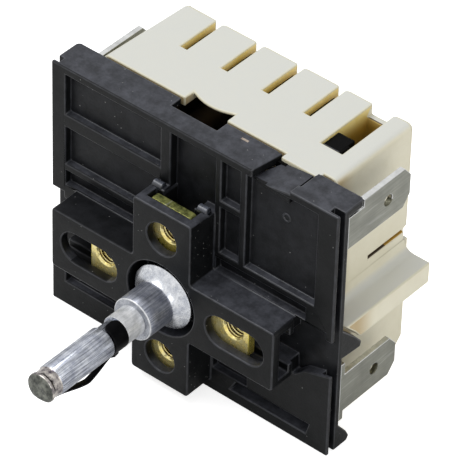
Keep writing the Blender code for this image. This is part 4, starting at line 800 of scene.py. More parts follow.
@dataclass
class FrontCover:
    """The black moulding with the cross-shaped boss. A block is its lowest and its highest corner."""

    finishes: tuple[Finish, ...] = (
        PHENOLIC, PHENOLIC_EDGE_HIGHLIGHT, PHENOLIC_SHADE, CHIPPED, PHENOLIC_PANEL, PHENOLIC_NOSE_HIGHLIGHT)
    edge: float = 0.2 * MM
    edge_angle: float = 35.0
    # The sunk panels' face, and how far a panel may stand from it.
    panel: float = 5.9 * MM
    panel_play: float = 0.5 * MM
    # What stands further back than this is painted near black as shade.
    shade_from: float = 11.0 * MM
    # The left arm of the boss reaches back to the first and right to the second.
    arm_rear: float = 5.0 * MM
    arm_right: float = -5.0 * MM
    # The saddle's rear corners stand further right by its lean, left and right. Its right front corner
    # stands further forward. Its tops are left and right, each at the front and at the rear.
    saddle_block: Block = (mm(10.2, 5.75, 22.35), mm(16.85, 9.33, 24.0))
    saddle_lean: tuple[float, float] = mm(2.1, 0.25)
    saddle_front: float = 4.85 * MM
    saddle_tops: Outline = outline((22.85, 23.9), (24.05, 24.42))
    saddle_edge: float = 0.12 * MM
    web_blocks: tuple[Block, ...] = (
        (mm(10.6, 6.0, 21.0), mm(13.2, 10.08, 22.2)), (mm(11.3, 8.9, 21.5), mm(12.9, 9.34, 23.95)))
    wall_end_block: Block = (mm(10.0, 4.77, 23.2), mm(11.5, 10.0, 24.49))
    wall_end_slant: float = 0.75 * MM
    chip_block: Block = (mm(5.55, 8.75, 24.3), mm(6.7, 9.1, 24.52))
    # The moulded ring's section, as (depth behind the panel's face, radius).
    ring_place: Point = mm(15.76, 0.0, 18.91)
    ring_outline: Outline = outline((0.05, 0.4), (-0.07, 0.48), (-0.07, 0.64), (0.05, 0.74))
    nose_places: tuple[Point, ...] = (mm(-3.85, 3.95, 14.65), mm(3.75, 3.95, 14.65))
    nose_half: float = 0.85 * MM
    nose_radius: float = 0.65 * MM
    nose_round: float = 0.15 * MM
    lip_block: Block = (mm(13.64, 15.04, 22.6), mm(16.3, 15.55, 24.1))
    latch_block: Block = (mm(13.64, 15.5, 22.6), mm(16.3, 18.6, 24.03))
    latch_edge: float = 0.1 * MM
    steps: int = 32

    def saddle(self) -> Shape:
        """The sloped saddle in the top edge, over the upper latch.

        Returns:
            A closed block with a slanting top, rounded at its edges.
        """
        bm = boxed(*self.saddle_block)
        for vert in bm.verts:
            right, rear, upper = halves(self.saddle_block, vert.co)
            if rear:
                vert.co.x += self.saddle_lean[right]
            elif right:
                vert.co.y = self.saddle_front
            if upper:
                vert.co.z = self.saddle_tops[right][rear]
        soften(bm, sharp_edges(bm), self.saddle_edge)
        return bm

    def webs(self) -> list[Shape]:
        """The webs that close the top edge beside the saddle from below and behind, painted near black as
        shade.

        Returns:
            Two closed blocks.
        """
        shapes = [boxed(*block) for block in self.web_blocks]
        for shape in shapes:
            paint(shape.faces, self.finishes, PHENOLIC_SHADE)
        return shapes

    def wall_end(self) -> Shape:
        """The top wall's right end, cut at a slant.

        Returns:
            A closed, rounded block.
        """
        bm = boxed(*self.wall_end_block)
        for vert in bm.verts:
            right, rear, _ = halves(self.wall_end_block, vert.co)
            if right and not rear:
                vert.co.x -= self.wall_end_slant
        soften(bm, sharp_edges(bm), self.edge)
        return bm

    def chip(self) -> Shape:
        """The chipped spot in the top wall's rear edge.

        Returns:
            A closed block, level with the wall.
        """
        bm = boxed(*self.chip_block)
        paint(bm.faces, self.finishes, CHIPPED)
        return bm

    def ring(self) -> Shape:
        """The small moulded ring on the right panel.

        Returns:
            A closed ring.
        """
        profile = [(self.panel + depth, radius) for depth, radius in self.ring_outline]
        bm = spun(profile, self.ring_place, "Y", self.steps, closed=True)
        paint(bm.faces, self.finishes, PHENOLIC_EDGE_HIGHLIGHT)
        return bm

    def noses(self) -> list[Shape]:
        """The rounded noses that keep the top nut plate in its pocket, painted with a highlight.

        Returns:
            Two closed, rounded pegs.
        """
        half, radius, rounding = self.nose_half, self.nose_radius, self.nose_round
        front = [(-half, 0.0), (-half, radius - rounding), (rounding - half, radius)]
        profile = front + [(-along, distance) for along, distance in reversed(front)]
        shapes = [spun(profile, place, "X", self.steps) for place in self.nose_places]
        for shape in shapes:
            paint(shape.faces, self.finishes, PHENOLIC_NOSE_HIGHLIGHT)
        return shapes

    def latch_head(self) -> list[Shape]:
        """The upper latch's head in the window: its lit front lip, and the back painted near black as shade.

        Returns:
            Two closed, rounded blocks.
        """
        lip, back = boxed(*self.lip_block), boxed(*self.latch_block)
        for shape in (lip, back):
            soften(shape, sharp_edges(shape), self.latch_edge)
        paint(back.faces, self.finishes, PHENOLIC_SHADE)
        return [lip, back]

    def panel_or_shaded_arm(self, face: Face) -> bool:
        """Whether a moulded face gets the panel finish: on a sunk panel, or on the left arm's top, kept
        darker as painted shade.

        Args:
            face: A face of the cover.

        Returns:
            Whether it gets the panel finish.
        """
        at = face.calc_center_median()
        on_panel = face.normal.y < -FACING and abs(at.y - self.panel) < self.panel_play
        on_arm = face.normal.z > FACING and at.y < self.arm_rear and at.x < self.arm_right
        return on_panel or on_arm

    def build(self) -> None:
        """Rounds every moulded edge of the cover, adds its small forms and gives it its finishes."""
        bm = node_mesh("front_cover")
        edges = sharp_edges(bm, self.edge_angle)
        # The rounds get the paler edge finish: wear and a painted highlight.
        soften(bm, edges, self.edge, material=self.finishes.index(PHENOLIC_EDGE_HIGHLIGHT))
        # Faces far back are painted near black as shade.
        shaded_faces = [face for face in bm.faces if face.calc_center_median().y > self.shade_from]
        paint([face for face in bm.faces if self.panel_or_shaded_arm(face)], self.finishes, PHENOLIC_PANEL)
        paint(shaded_faces, self.finishes, PHENOLIC_SHADE)
        gathered(bm, [
            self.saddle(), self.wall_end(), *self.webs(), self.ring(), self.chip(), *self.latch_head(),
            *self.noses()])
        show(mesh_object("cover_moulding", bm), self.finishes, "front_cover")


@dataclass
class RearBody:
    """The ivory moulding behind the cover. A block is its lowest and its highest corner."""

    finishes: tuple[Finish, ...] = (IVORY, IVORY_SLOT, IVORY_EDGE, IVORY_INSIDE_SHADE)
    edge: float = 0.22 * MM
    edge_angle: float = 50.0
    edge_least: float = 0.25 * MM
    # The wide rounds: their size, how near the rear and the top their edges are, and the shortest.
    wide: float = 0.75 * MM
    wide_segments: int = 4
    wide_rear: float = 0.05 * MM
    wide_top: float = 4.0 * MM
    wide_least: float = 0.7 * MM
    # An outer rear corner is past the first, and is rounded above the second.
    right_corner: tuple[float, float] = mm(18.5, 6.0)
    left_corner: tuple[float, float] = mm(-17.3, 23.3)
    slots: tuple[float, ...] = mm(-12.2, -5.26, 1.68, 8.62)
    slot_width: float = 1.1 * MM
    slot_length: float = 7.8 * MM
    slot_depth: float = 3.2 * MM
    # The latch window's left, right, front and rear.
    window: tuple[float, ...] = mm(13.6, 17.1, 15.0, 24.6)
    window_depth: float = 6.0 * MM
    # The rounds at the top and at the rear are no part of a slot.
    top_round: float = 0.25 * MM
    rear_round: float = 0.3 * MM
    near: float = 0.06 * MM
    # The slit in the side wall: its lowest and highest face, the wall, and where its front part, painted dark
    # as shade, ends.
    slit: tuple[float, float] = mm(6.95, 7.55)
    slit_wall: float = 16.0 * MM
    slit_shade_end: float = 21.3 * MM
    hollow: Block = (mm(-17.3, 10.6, -13.9), (17.5 * MM, 24.75 * MM, COVER_TOP - 1.3 * MM))
    tongue_block: Block = (mm(11.7, 9.37, 23.45), (17.9 * MM, 11.4 * MM, COVER_TOP - 0.01 * MM))
    tongue_edge: float = 0.2 * MM

    def in_slot(self, face: Face) -> bool:
        """Whether a face is a wall or the floor of a slot or of the latch window in the top.

        Args:
            face: A face of the body.

        Returns:
            Whether it is inside one of them.
        """
        at, near = face.calc_center_median(), self.near
        if at.z > COVER_TOP - self.top_round:
            return False
        left, right, front, rear = self.window
        if left - near < at.x < right + near and front - near < at.y < rear + near:
            return at.z > COVER_TOP - self.window_depth
        high = at.z > COVER_TOP - self.slot_depth - near
        behind = BODY_REAR - self.slot_length - near < at.y < BODY_REAR - self.rear_round
        return high and behind and any(abs(at.x - x) < self.slot_width / 2 + near for x in self.slots)

    def outer(self, edge: Edge) -> bool:
        """Whether an edge belongs to one of the body's outer rear corners.

        Args:
            edge: An edge at the body's rear.

        Returns:
            Whether both its ends are there, high enough to be rounded.
        """
        right, right_from = self.right_corner
        left, left_from = self.left_corner
        ends = [vert.co for vert in edge.verts]
        return all(at.x > right and at.z > right_from or at.x < left and at.z > left_from for at in ends)

    def rounded_wide(self, edge: Edge) -> bool:
        """Whether an edge gets the wide round: the top's rear edges and the outer rear corners.

        Args:
            edge: A sharp edge of the body.

        Returns:
            Whether it does.
        """
        if not all(vert.co.y > BODY_REAR - self.wide_rear for vert in edge.verts):
            return False
        high = min(vert.co.z for vert in edge.verts) > COVER_TOP - self.wide_top
        return high and edge.calc_length() > self.wide_least or self.outer(edge)

    def in_slit(self, face: Face) -> bool:
        """Whether a face is inside the narrow slit in a side wall.

        Args:
            face: A face of the body.

        Returns:
            Whether it is inside the slit.
        """
        at = face.calc_center_median()
        low, high = self.slit
        return low < at.z < high and abs(at.x) > self.slit_wall and abs(face.normal.x) < FACING

    def inside(self, face: Face) -> bool:
        """Whether a face belongs to the hollow where the contacts work."""
        at = face.calc_center_median()
        return all(low < place < high for place, low, high in zip(at, *self.hollow))

    def tongue(self) -> Shape:
        """The lip of the top wall that reaches forwards over the cover's ramp.

        Returns:
            A closed, rounded strip.
        """
        bm = boxed(*self.tongue_block)
        soften(bm, sharp_edges(bm), self.tongue_edge)
        paint([face for face in bm.faces if face.normal.z < FACING], self.finishes, IVORY_EDGE)
        return bm

    def cut_slit(self, bm: Shape) -> None:
        """Cuts the slit's faces across where its painted shade ends, so that each part has its own finish.

        Args:
            bm: The body's mesh.
        """
        faces = [face for face in bm.faces if self.in_slit(face)]
        around = [part for face in faces for part in (*face.edges, *face.verts)]
        bmesh.ops.bisect_plane(
            bm, geom=faces + list(dict.fromkeys(around)), plane_co=(0, self.slit_shade_end, 0), plane_no=(0, 1, 0))

    def build(self) -> None:
        """Rounds the body's edges, more at the rear, and colours its slots, slit and hollow: amber
        through-light in the slots and the slit's rear, painted shade in the hollow and the slit's front.
        """
        bm = node_mesh("rear_body")
        number = self.finishes.index(IVORY_EDGE)
        wide = sharp_edges(bm, wanted=self.rounded_wide)
        soften(bm, wide, self.wide, self.wide_segments, number)
        others = sharp_edges(bm, self.edge_angle, lambda edge: edge.calc_length() > self.edge_least)
        soften(bm, others, self.edge, material=number)
        # Where a wide round ends, its last point can stand past the rear.
        for vert in bm.verts:
            vert.co.y = min(vert.co.y, BODY_REAR)
        self.cut_slit(bm)
        for face in bm.faces:
            # The slit's front is painted as shade; its rear as lit through.
            lit = not self.in_slit(face) or face.calc_center_median().y >= self.slit_shade_end
            if self.in_slot(face):
                paint([face], self.finishes, IVORY_SLOT)
            elif self.inside(face) or not lit:
                paint([face], self.finishes, IVORY_INSIDE_SHADE)
            elif self.in_slit(face):
                paint([face], self.finishes, IVORY_SLOT)
        gathered(bm, [self.tongue()])
        show(mesh_object("body_moulding", bm), self.finishes, "rear_body")


@dataclass
class Terminals:
    """The five quick-connect terminals."""

    finishes: tuple[Finish, ...] = (TIN_PLATE, TIN_EDGE_HIGHLIGHT, TIN_HOLE)
    nodes: tuple[str, ...] = (
        "terminal_upper_right", "terminal_lower_right", "terminal_upper_left", "terminal_lower_left",
        "terminal_pilot")
    edge: float = 0.08 * MM
    edge_angle: float = 50.0
    # The blade's hole: it is behind the first, and its wall has faces smaller than the second.
    hole_from: float = 12.0 * MM
    hole_facet: float = 0.3 * MM * MM
    hole_reach: float = 0.95 * MM
    # A face of the hole's wall, or a sheared edge, looks sideways less than this.
    wall_facing: float = 0.1
    edge_facing: float = 0.5

    def hole(self, bm: Shape) -> Vector:
        """The middle of the blade's hole, as (y, z), from the small faces of its wall.

        Args:
            bm: The terminal's mesh before its edges are broken.

        Returns:
            The middle, as the median over the hole's wall.
        """
        upright = [face for face in bm.faces if abs(face.normal.x) < self.wall_facing]
        small = [face for face in upright if face.calc_area() < self.hole_facet]
        walls = [face.calc_center_median() for face in small if face.calc_center_median().y > self.hole_from]
        return Vector([sorted(at[axis] for at in walls)[len(walls) // 2] for axis in (1, 2)])

    def build(self) -> None:
        """Breaks the stamped edges of each terminal and plates it."""
        for node in self.nodes:
            bm = node_mesh(node)
            hole = self.hole(bm)
            soften(bm, sharp_edges(bm, self.edge_angle), self.edge, material=self.finishes.index(TIN_EDGE_HIGHLIGHT))
            # The sheared edges are painted bright as their highlight.
            sheared = [face for face in bm.faces if abs(face.normal.x) < self.edge_facing]
            paint(sheared, self.finishes, TIN_EDGE_HIGHLIGHT)
            edges = [face for face in bm.faces if face.material_index]
            wall = [face for face in edges if (face.calc_center_median().yz - hole).length < self.hole_reach]
            paint(wall, self.finishes, TIN_HOLE)
            show(mesh_object(node + "_strip", bm), self.finishes, node)


@dataclass
class NutPlates:
    """The four captive plates, each with a collar drawn to the rear and its thread."""

    finishes: tuple[Finish, ...] = (YELLOW_ZINC, THREAD_HIGHLIGHT, THREAD_SHADE, ZINC_END)
    # How far the screws stand from the shaft, above and below it and at its sides.
    upright: float = 10.05 * MM
    sideways: float = 11.0 * MM
    front: float = 1.75 * MM
    thick: float = 1.3 * MM
    longer_top: float = 0.75 * MM
    corner: float = 0.5 * MM
    corner_segments: int = 4
    edge: float = 0.14 * MM
    edge_angle: float = 60.0
    collar: float = 1.95 * MM
    collar_lap: float = 0.5 * MM
    rise: float = 1.1 * MM
    # The collar's rounded rim, as (distance from its end, depth under its radius).
    rim_outline: Outline = outline((0.2, 0.0), (0.06, 0.05), (0.0, 0.2))
    # The bore's rounded mouth, as (depth behind the plate's front, distance past the mouth's radius).
    mouth: float = 1.70 * MM
    mouth_outline: Outline = outline((-1.0, 0.06), (-0.001, 0.06), (0.07, -0.04), (0.2, -0.13))
    bore: float = 1.45 * MM
    thread_from: float = 0.34 * MM
    thread: float = 0.2 * MM
    pitch: float = 0.5 * MM
    crest: float = 0.1 * MM
    past: float = 1.0 * MM
    # The thread's painted highlight and shade reach this far past the mouth; the highlight is painted on what
    # looks forwards.
    bore_past: float = 0.04 * MM
    highlight_facing: float = 0.25
    end_facing: float = 0.5
    steps: int = 64

    def threaded_bore(self, centre: Point) -> Shape:
        """The shape of the tapped hole, with its rounded mouth.

        Args:
            centre: A point on the hole's axis, at y 0.

        Returns:
            A closed shape to cut.
        """
        start, end = self.front, self.front + self.thick + self.rise
        profile = [(start - self.past, 0.0)]
        profile += [(start + depth, self.mouth + wider) for depth, wider in self.mouth_outline]
        y = start + self.thread_from
        while y + self.pitch < end - self.crest:
            profile += [(y, self.bore), (y + self.crest, self.bore)]
            profile.append((y + self.pitch / 2, self.bore + self.thread))
            profile.append((y + self.pitch - self.crest, self.bore))
            y += self.pitch
        profile += [(end + self.past, self.bore), (end + self.past, 0.0)]
        return spun(profile, centre, "Y", self.steps)

    def plate(self, node: str) -> Shape:
        """The flat plate, with rounded corners.

        Args:
            node: The CAD node that gives its length and width.

        Returns:
            A closed plate.
        """
        low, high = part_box(node)
        if node == "mount_nut_top":
            high.z += self.longer_top
        bm = boxed((low.x, self.front, low.z), (high.x, self.front + self.thick, high.z))
        through = [e for e in bm.edges if abs(e.verts[0].co.y - e.verts[1].co.y) > self.thick / 2]
        soften(bm, through, self.corner, self.corner_segments)
        soften(bm, sharp_edges(bm, self.edge_angle), self.edge)
        return bm

    def drawn_collar(self, centre: Point) -> Shape:
        """The collar behind the plate, before it is tapped.

        Args:
            centre: A point on its axis, at y 0.

        Returns:
            A closed shape that reaches into the plate.
        """
        rear = self.front + self.thick
        tip = rear + self.rise
        profile = [(rear - self.collar_lap, 0.0), (rear - self.collar_lap, self.collar)]
        profile += [(tip - along, self.collar - depth) for along, depth in self.rim_outline]
        return spun([*profile, (tip, 0.0)], centre, "Y", self.steps)

    def build(self) -> None:
        """Builds each plate along its own arm of the boss."""
        up, side = self.upright, self.sideways
        middles = {"top": (0.0, up), "bottom": (0.0, -up), "right": (side, 0.0), "left": (-side, 0.0)}
        for way, (x, z) in middles.items():
            node = "mount_nut_" + way
            centre = (x, 0.0, z)
            obj = mesh_object(node + "_plate", self.plate(node))
            carve(obj, [self.drawn_collar(centre)], "UNION")
            carve(obj, [self.threaded_bore(centre)])
            for face in obj.data.polygons:
                if (face.center.xz - Vector((x, z))).length < self.mouth + self.bore_past:
                    # Inside the bore: a painted highlight on what looks forwards, painted shade on the rest.
                    thread_lit = face.normal.y < -self.highlight_facing
                    paint([face], self.finishes, THREAD_HIGHLIGHT if thread_lit else THREAD_SHADE)
                elif way == "top" and face.normal.z > self.end_facing:
                    paint([face], self.finishes, ZINC_END)
            show(obj, self.finishes, node)


@dataclass
class ShaftRod:
    """The shaft, with its worn tip, the groove behind it, its necks and its two flats."""

    finishes: tuple[Finish, ...] = (DRAWN_STEEL, WORN_TIP, BURNISHED, POLISHED_GROOVE)
    # The dished, worn end, as (distance from the tip, radius).
    worn_end: Outline = outline(
        (0.16, 0.0), (0.13, 0.45), (0.02, 0.75), (0.0, 1.0), (0.04, 1.4), (0.16, 1.75), (0.24, 1.95))
    # The band and the groove behind it, as (distance from the tip, depth under the rod's radius).
    groove: Outline = outline(
        (0.42, 0.07), (0.6, 0.02), (0.8, 0.02), (0.92, 0.12), (1.1, 0.17), (2.2, 0.17), (2.4, 0.1),
        (2.55, 0.0))
    end_until: float = 0.4 * MM
    groove_until: float = 2.4 * MM
    clip_neck: float = 1.88 * MM
    clip_front: float = -11.28 * MM
    clip_rear: float = -8.6 * MM
    front_chamfer: float = 0.15 * MM
    rear_chamfer: float = 0.05 * MM
    ring_neck: float = 1.9 * MM
    tail: float = 22.5 * MM
    tail_chamfer: float = 0.4 * MM
    # The flats: how far they are from the axis, where they end, and how far their cutters reach.
    flat: float = 1.55 * MM
    knob_flat_short: float = 0.6 * MM
    drive_flat_front: float = 1.3 * MM
    cutter_past: float = 1.0 * MM
    cutter_wide: float = 3.0 * MM
    cutter_out: float = 5.0 * MM
    steps: int = 96

    def profile(self) -> list[tuple[float, float]]:
        """The rod's outline, from its tip to its tail.

        Returns:
            Points as (y, radius).
        """
        r, front, rear, tail = SHAFT_RADIUS, self.clip_front, self.clip_rear, self.tail
        points = [(SHAFT_TIP + along, radius) for along, radius in self.worn_end]
        points += [(SHAFT_TIP + along, r - depth) for along, depth in self.groove]
        points += [(front - self.front_chamfer, r), (front, r - self.front_chamfer), (front, self.clip_neck)]
        points += [(rear, self.clip_neck), (rear, r - self.rear_chamfer), (rear + self.rear_chamfer, r)]
        points += [(COLLAR_FRONT, r), (RING_FRONT, r), (RING_FRONT, self.ring_neck)]
        points += [(RING_REAR, self.ring_neck), (RING_REAR, r)]
        points += [(tail - self.tail_chamfer, r), (tail, r - self.tail_chamfer), (tail, 0.0)]
        return points

    def finish_at(self, y: float) -> Finish:
        """The finish of the rod at a place along it.

        Args:
            y: The place.

        Returns:
            Its finish.
        """
        if y < SHAFT_TIP + self.end_until:
            return WORN_TIP
        if y < SHAFT_TIP + self.groove_until:
            return POLISHED_GROOVE
        return BURNISHED if self.clip_rear < y < COLLAR_FRONT else DRAWN_STEEL

    def build(self) -> None:
        """Turns the shaft, mills its flats and gives each length of it its finish."""
        obj = mesh_object("shaft_rod", spun(self.profile(), (0, 0, 0), "Y", self.steps))
        wide, out = self.cutter_wide, self.cutter_out
        front, rear = SHAFT_TIP - self.cutter_past, self.clip_front - self.knob_flat_short
        knob = boxed((-wide, front, -out), (wide, rear, -self.flat))
        drive = boxed((-wide, self.drive_flat_front, self.flat), (wide, RING_FRONT, out))
        carve(obj, [knob, drive])
        for face in obj.data.polygons:
            paint([face], self.finishes, self.finish_at(face.center.y))
        show(obj, self.finishes, "shaft", weighted=False)


@dataclass
class Collar:
    """The turned collar with its bell-shaped rim."""

    finishes: tuple[Finish, ...] = (TURNED_COLLAR, COLLAR_NOSE, BURNISHED, COLLAR_BELL)
    bore: float = 2.21 * MM
    radius: float = 3.15 * MM
    # The front edge and the rim's rear edge, each as (distance from the end, depth under the radius).
    front_edge: Outline = outline((0.0, 0.14), (0.04, 0.05), (0.14, 0.0))
    rear_edge: Outline = outline((0.4, 0.0), (0.12, 0.02), (0.0, 0.14))
    straight: float = 1.6 * MM
    bell_front: float = -1.5 * MM
    bell_long: float = 2.0 * MM
    bell_steps: int = 12
    rim: float = 4.8 * MM
    rear: float = 1.0 * MM
    # Where the finishes change: behind the front face, behind its round, and along the bell.
    nose_until: float = 0.01 * MM
    round_until: float = 0.13 * MM
    bright_from: float = 0.15
    steps: int = 96

    def profile(self) -> list[tuple[float, float]]:
        """The collar's section, whose bell widens along a quarter of a wave.

        Returns:
            Points as (y, radius), from the bore's front to its rear.
        """
        points = [(COLLAR_FRONT, self.bore)]
        points += [(COLLAR_FRONT + along, self.radius - depth) for along, depth in self.front_edge]
        points.append((COLLAR_FRONT + self.straight, self.radius))
        for step in range(self.bell_steps + 1):
            share = step / self.bell_steps
            wider = (self.rim - self.radius) * (1 - math.cos(share * math.pi / 2))
            points.append((self.bell_front + self.bell_long * share, self.radius + wider))
        points += [(self.rear - along, self.rim - depth) for along, depth in self.rear_edge]
        return [*points, (self.rear, self.bore)]

    def finish_at(self, y: float) -> Finish:
        """The finish of the collar at a place along it.

        Args:
            y: The place.

        Returns:
            Its finish.
        """
        if y < COLLAR_FRONT + self.nose_until:
            return COLLAR_NOSE
        if y < COLLAR_FRONT + self.round_until:
            return BURNISHED
        return COLLAR_BELL if y > self.bell_front + self.bell_long * self.bright_from else TURNED_COLLAR

    def build(self) -> None:
        """Turns the collar and gives each length of it its finish."""
        obj = mesh_object("collar_turned", spun(self.profile(), (0, 0, 0), "Y", self.steps, closed=True))
        for face in obj.data.polygons:
            paint([face], self.finishes, self.finish_at(face.center.y))
        show(obj, self.finishes, "shaft_collar", weighted=False)


@dataclass
class ShaftClip:
    """The black spring clip: an open sleeve round the shaft's neck, and a leaf along the flat."""

    inner: float = 1.9 * MM
    wall: float = 0.35 * MM
    front: float = -11.2 * MM
    rear: float = -8.65 * MM
    corner: float = 0.8 * MM
    sleeve_from: float = math.radians(-5.0)
    sleeve_to: float = math.radians(225.0)
    sleeve_edge: float = 0.06 * MM
    sleeve_grid: tuple[int, int] = (48, 8)
    # The leaf: its root, how far it ends from the shaft's tip, and its height at each of them.
    root: float = -9.6 * MM
    short_of_tip: float = 1.8 * MM
    root_height: float = -2.0 * MM
    end_height: float = -1.9 * MM
    bow: float = 2.1 * MM
    bow_at: float = 0.42
    off_middle: float = 0.42 * MM
    root_half: float = 0.9 * MM
    root_share: float = 0.08
    half: float = 0.45 * MM
    thick: float = 0.3 * MM
    leaf_edge: float = 0.05 * MM
    leaf_grid: tuple[int, int] = (32, 2)
    edge_angle: float = 60.0

    def sleeve(self) -> Shape:
        """The clip's open sleeve: a strip with rounded corners, rolled round the neck.

        Returns:
            A closed curved strip.
        """
        outer, turn = self.inner + self.wall, self.sleeve_to - self.sleeve_from
        along, across = self.sleeve_grid
        bm = bmesh.new()
        bmesh.ops.create_grid(bm, x_segments=along, y_segments=across, size=0.5)
        for vert in bm.verts:
            share = vert.co.x + 0.5
            angle = self.sleeve_from + turn * share
            from_end = min(share * turn * self.inner, self.corner)
            rounded = math.sqrt(max(self.corner**2 - (self.corner - from_end) ** 2, 0.0))
            half = (self.rear - self.front) / 2 - self.corner + rounded
            y = (self.front + self.rear) / 2 + 2 * vert.co.y * half
            vert.co = (outer * math.sin(angle), y, outer * math.cos(angle))
        bmesh.ops.recalc_face_normals(bm, faces=bm.faces)
        if sum(face.normal.xz.dot(face.calc_center_median().xz) for face in bm.faces) < 0:
            bmesh.ops.reverse_faces(bm, faces=bm.faces)
        bmesh.ops.solidify(bm, geom=list(bm.faces), thickness=self.wall)
        bmesh.ops.recalc_face_normals(bm, faces=bm.faces)
        soften(bm, sharp_edges(bm, self.edge_angle), self.sleeve_edge)
        return bm

    def leaf(self) -> Shape:
        """The clip's leaf, which bows out and comes back to the shaft near its tip.

        Returns:
            A closed curved strip.
        """
        end = SHAFT_TIP + self.short_of_tip
        along, across = self.leaf_grid
        bm = bmesh.new()
        bmesh.ops.create_grid(bm, x_segments=along, y_segments=across, size=0.5)
        for vert in bm.verts:
            share = vert.co.x + 0.5
            rise = share / self.bow_at if share < self.bow_at else (1 - share) / (1 - self.bow_at)
            bowed = self.bow * (rise + 3 * rise**2 - 2 * rise**3) / 2
            half = self.root_half if share < self.root_share else self.half
            straight = self.root_height + (self.end_height - self.root_height) * share
            y = self.root + (end - self.root) * share
            vert.co = (self.off_middle + vert.co.y * 2 * half, y, straight - bowed)
        bmesh.ops.solidify(bm, geom=list(bm.faces), thickness=self.thick)
        bmesh.ops.recalc_face_normals(bm, faces=bm.faces)
        soften(bm, sharp_edges(bm, self.edge_angle), self.leaf_edge)
        return bm

    def build(self) -> None:
        """Makes the black clip from its sleeve and its leaf."""
        show(mesh_object("clip_leaf", gathered(self.sleeve(), [self.leaf()])), (BLACK_SPRING,), "shaft_clip")


@dataclass
class ReturnSpring:
    """The coil that pushes the shaft out again, and the ring on the shaft that it bears on."""

    front: float = RING_REAR
    rear: float = 19.8 * MM
    radius: float = 3.2 * MM
    wire: float = 0.35 * MM
    wire_sides: int = 12
    turns: int = 3
    steps_per_turn: int = 40

    def build(self) -> None:
        """Winds the spring and dresses the ring."""
        dress("retaining_ring", SPRING_STEEL)
        bm = bmesh.new()
        turn = Matrix.Rotation(math.pi / 2, 4, "Y")
        place = Matrix.Translation((0, self.front + self.wire, self.radius)) @ turn
        ring = bmesh.ops.create_circle(bm, segments=self.wire_sides, radius=self.wire, matrix=place)["verts"]
        rear, steps = self.rear, self.turns * self.steps_per_turn
        climb = (rear - self.front - 2 * self.wire) / steps
        bmesh.ops.spin(
            bm, geom=list(ring) + list(bm.edges), cent=(0, 0, 0), axis=(0, 1, 0), dvec=(0, climb, 0),
            angle=2 * math.pi * self.turns, steps=steps)
        bmesh.ops.holes_fill(bm, edges=[edge for edge in bm.edges if edge.is_boundary])
        bmesh.ops.recalc_face_normals(bm, faces=bm.faces)
        obj = mesh_object("return_coil", bm)
        show(obj, (SPRING_STEEL,), "return_spring", weighted=False)
        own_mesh(obj)


@dataclass
class InnerWork:
    """What stands behind the cover: cam, lever, bimetal, heater, blades and contacts."""

    edge: float = 0.07 * MM
    edge_angle: float = 45.0
    broken: tuple[tuple[str, Finish], ...] = (
        ("cam", NYLON), ("follower_lever", PRESSED_ZINC), ("bimetal_strip", BIMETAL),
        ("heater_block", CERAMIC), ("main_contact_blade", BRONZE), ("line_contact_blade", BRONZE),
        ("line_button", BROWN_BUTTON))
    plain: tuple[tuple[str, Finish], ...] = (
        ("lever_pin", SPRING_STEEL), ("bimetal_rivet", SPRING_STEEL), ("main_fixed_contact", SILVER),
        ("line_fixed_contact", SILVER), ("main_moving_contact", SILVER), ("line_moving_contact", SILVER))

    def build(self) -> None:
        """Breaks the edges of the larger inner pieces, and dresses the small ones as they are."""
        for node, finish in self.broken:
            bm = node_mesh(node)
            soften(bm, sharp_edges(bm, self.edge_angle), self.edge)
            show(mesh_object(node + "_part", bm), (finish,), node)
        for node, finish in self.plain:
            dress(node, finish)


# Studio


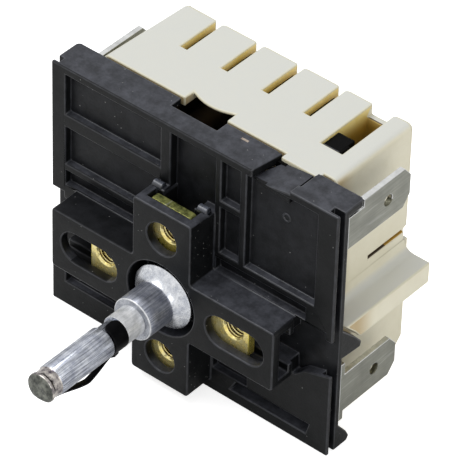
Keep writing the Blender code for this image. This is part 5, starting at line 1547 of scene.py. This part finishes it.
@dataclass
class Studio:
    """A pale floor, soft light and the camera at the photograph's angle."""

    azimuth: float = 39.10
    elevation: float = 40.14
    roll: float = 1.72
    place: Point = (0.26807, -0.31588, 0.36135)
    focal_px: float = 4223.6
    frame_px: float = 460.0
    sensor_mm: float = 36.0
    sees_from: float = 0.01
    sees_to: float = 20.0
    ambient: float = 0.62
    floor_half: float = 3.0
    floor_gap: float = 0.02 * MM
    floor_glow: float = 0.7
    lamp_side: float = 0.5
    lamp_aim: Point = (0.0, 0.01, 0.005)
    key_place: Point = (-0.25, -0.15, 0.75)
    key_watts: float = 3.0
    fill_place: Point = (0.7, -0.3, 0.4)
    fill_watts: float = 1.0

    def camera(self) -> None:
        """Puts the camera where the photograph was taken from."""
        a, e, r = (math.radians(v) for v in (self.azimuth, self.elevation, self.roll))
        forward = -Vector((math.sin(a) * math.cos(e), -math.cos(a) * math.cos(e), math.sin(e)))
        right = Vector((math.cos(a), math.sin(a), 0.0))
        up = right.cross(forward)
        across = right * math.cos(r) + up * math.sin(r)
        upright = up * math.cos(r) - right * math.sin(r)
        data = bpy.data.cameras.new("camera")
        data.sensor_width = self.sensor_mm
        data.lens = self.focal_px * data.sensor_width / self.frame_px
        data.clip_start, data.clip_end = self.sees_from, self.sees_to
        camera = bpy.data.objects.new("camera", data)
        bpy.context.scene.collection.objects.link(camera)
        turn = Matrix((across, upright, -forward)).transposed().to_4x4()
        camera.matrix_world = Matrix.Translation(self.place) @ turn
        bpy.context.scene.camera = camera

    def world(self) -> None:
        """An even pale sky, white where the camera, a reflection or clear material sees it."""
        world = bpy.data.worlds.new("studio")
        world.use_nodes = True
        tree = world.node_tree
        tree.nodes.clear()
        rays = add(tree, "ShaderNodeLightPath").outputs
        seen = add(tree, "ShaderNodeMath", {
            0: rays["Is Camera Ray"], 1: rays["Is Glossy Ray"]}, operation="MAXIMUM")
        seen = add(tree, "ShaderNodeMath", {
            0: seen.outputs[0], 1: rays["Is Transmission Ray"]}, operation="MAXIMUM")
        light = add(tree, "ShaderNodeBackground", {"Color": WHITE, "Strength": self.ambient})
        white = add(tree, "ShaderNodeBackground", {"Color": WHITE, "Strength": 1.0})
        both = add(tree, "ShaderNodeMixShader", {
            0: seen.outputs[0], 1: light.outputs[0], 2: white.outputs[0]})
        add(tree, "ShaderNodeOutputWorld", {"Surface": both.outputs[0]})
        bpy.context.scene.world = world

    def paper(self) -> bpy.types.Material:
        """The floor's pale paper, which looks a little brighter to the camera than it is lit.

        Returns:
            The material.
        """
        paper = bpy.data.materials.new("pale_paper")
        paper.use_nodes = True
        tree = paper.node_tree
        shader = tree.nodes["Principled BSDF"]
        shader.inputs["Base Color"].default_value = linear("#f6f6f6")
        shader.inputs["Roughness"].default_value = 0.9
        shader.inputs["Specular IOR Level"].default_value = 0.1
        rays = add(tree, "ShaderNodeLightPath").outputs
        seen = add(tree, "ShaderNodeMath", {
            0: rays["Is Camera Ray"], 1: self.floor_glow}, operation="MULTIPLY")
        glow = add(tree, "ShaderNodeEmission", {"Color": WHITE, "Strength": seen.outputs[0]})
        both = add(tree, "ShaderNodeAddShader", {0: shader.outputs[0], 1: glow.outputs[0]})
        tree.links.new(both.outputs[0], tree.nodes["Material Output"].inputs["Surface"])
        return paper

    def floor(self) -> None:
        """Lays the floor just under the switch."""
        bm = bmesh.new()
        level = Matrix.Translation((0, 0, COVER_BOTTOM - self.floor_gap))
        bmesh.ops.create_grid(bm, x_segments=1, y_segments=1, size=self.floor_half, matrix=level)
        floor = mesh_object("floor", bm)
        floor.data.materials.append(self.paper())

    def lamp(self, name: str, place: Point, watts: float) -> None:
        """Adds a soft square lamp that faces the switch.

        Args:
            name: The lamp's name.
            place: Where it hangs.
            watts: Its power.
        """
        data = bpy.data.lights.new(name, "AREA")
        data.shape, data.size, data.energy = "SQUARE", self.lamp_side, watts
        lamp = bpy.data.objects.new(name, data)
        bpy.context.scene.collection.objects.link(lamp)
        lamp.location = place
        lamp.rotation_euler = (Vector(self.lamp_aim) - Vector(place)).to_track_quat("-Z", "Y").to_euler()

    def build(self) -> None:
        """Sets up the whole studio."""
        bpy.context.scene.view_settings.view_transform = "Standard"
        self.camera()
        self.world()
        self.floor()
        self.lamp("key", self.key_place, self.key_watts)
        self.lamp("fill", self.fill_place, self.fill_watts)


def main() -> None:
    """Builds the studio and every sub-assembly."""
    logging.basicConfig(level=logging.INFO, format="%(message)s")
    for part in (
        Studio(), FrontCover(), RearBody(), Terminals(), NutPlates(), ShaftRod(), Collar(), ShaftClip(),
        ReturnSpring(), InnerWork(),
    ):
        part.build()
        LOG.info("%s is built", type(part).__name__)


if __name__ == "__main__":
    main()
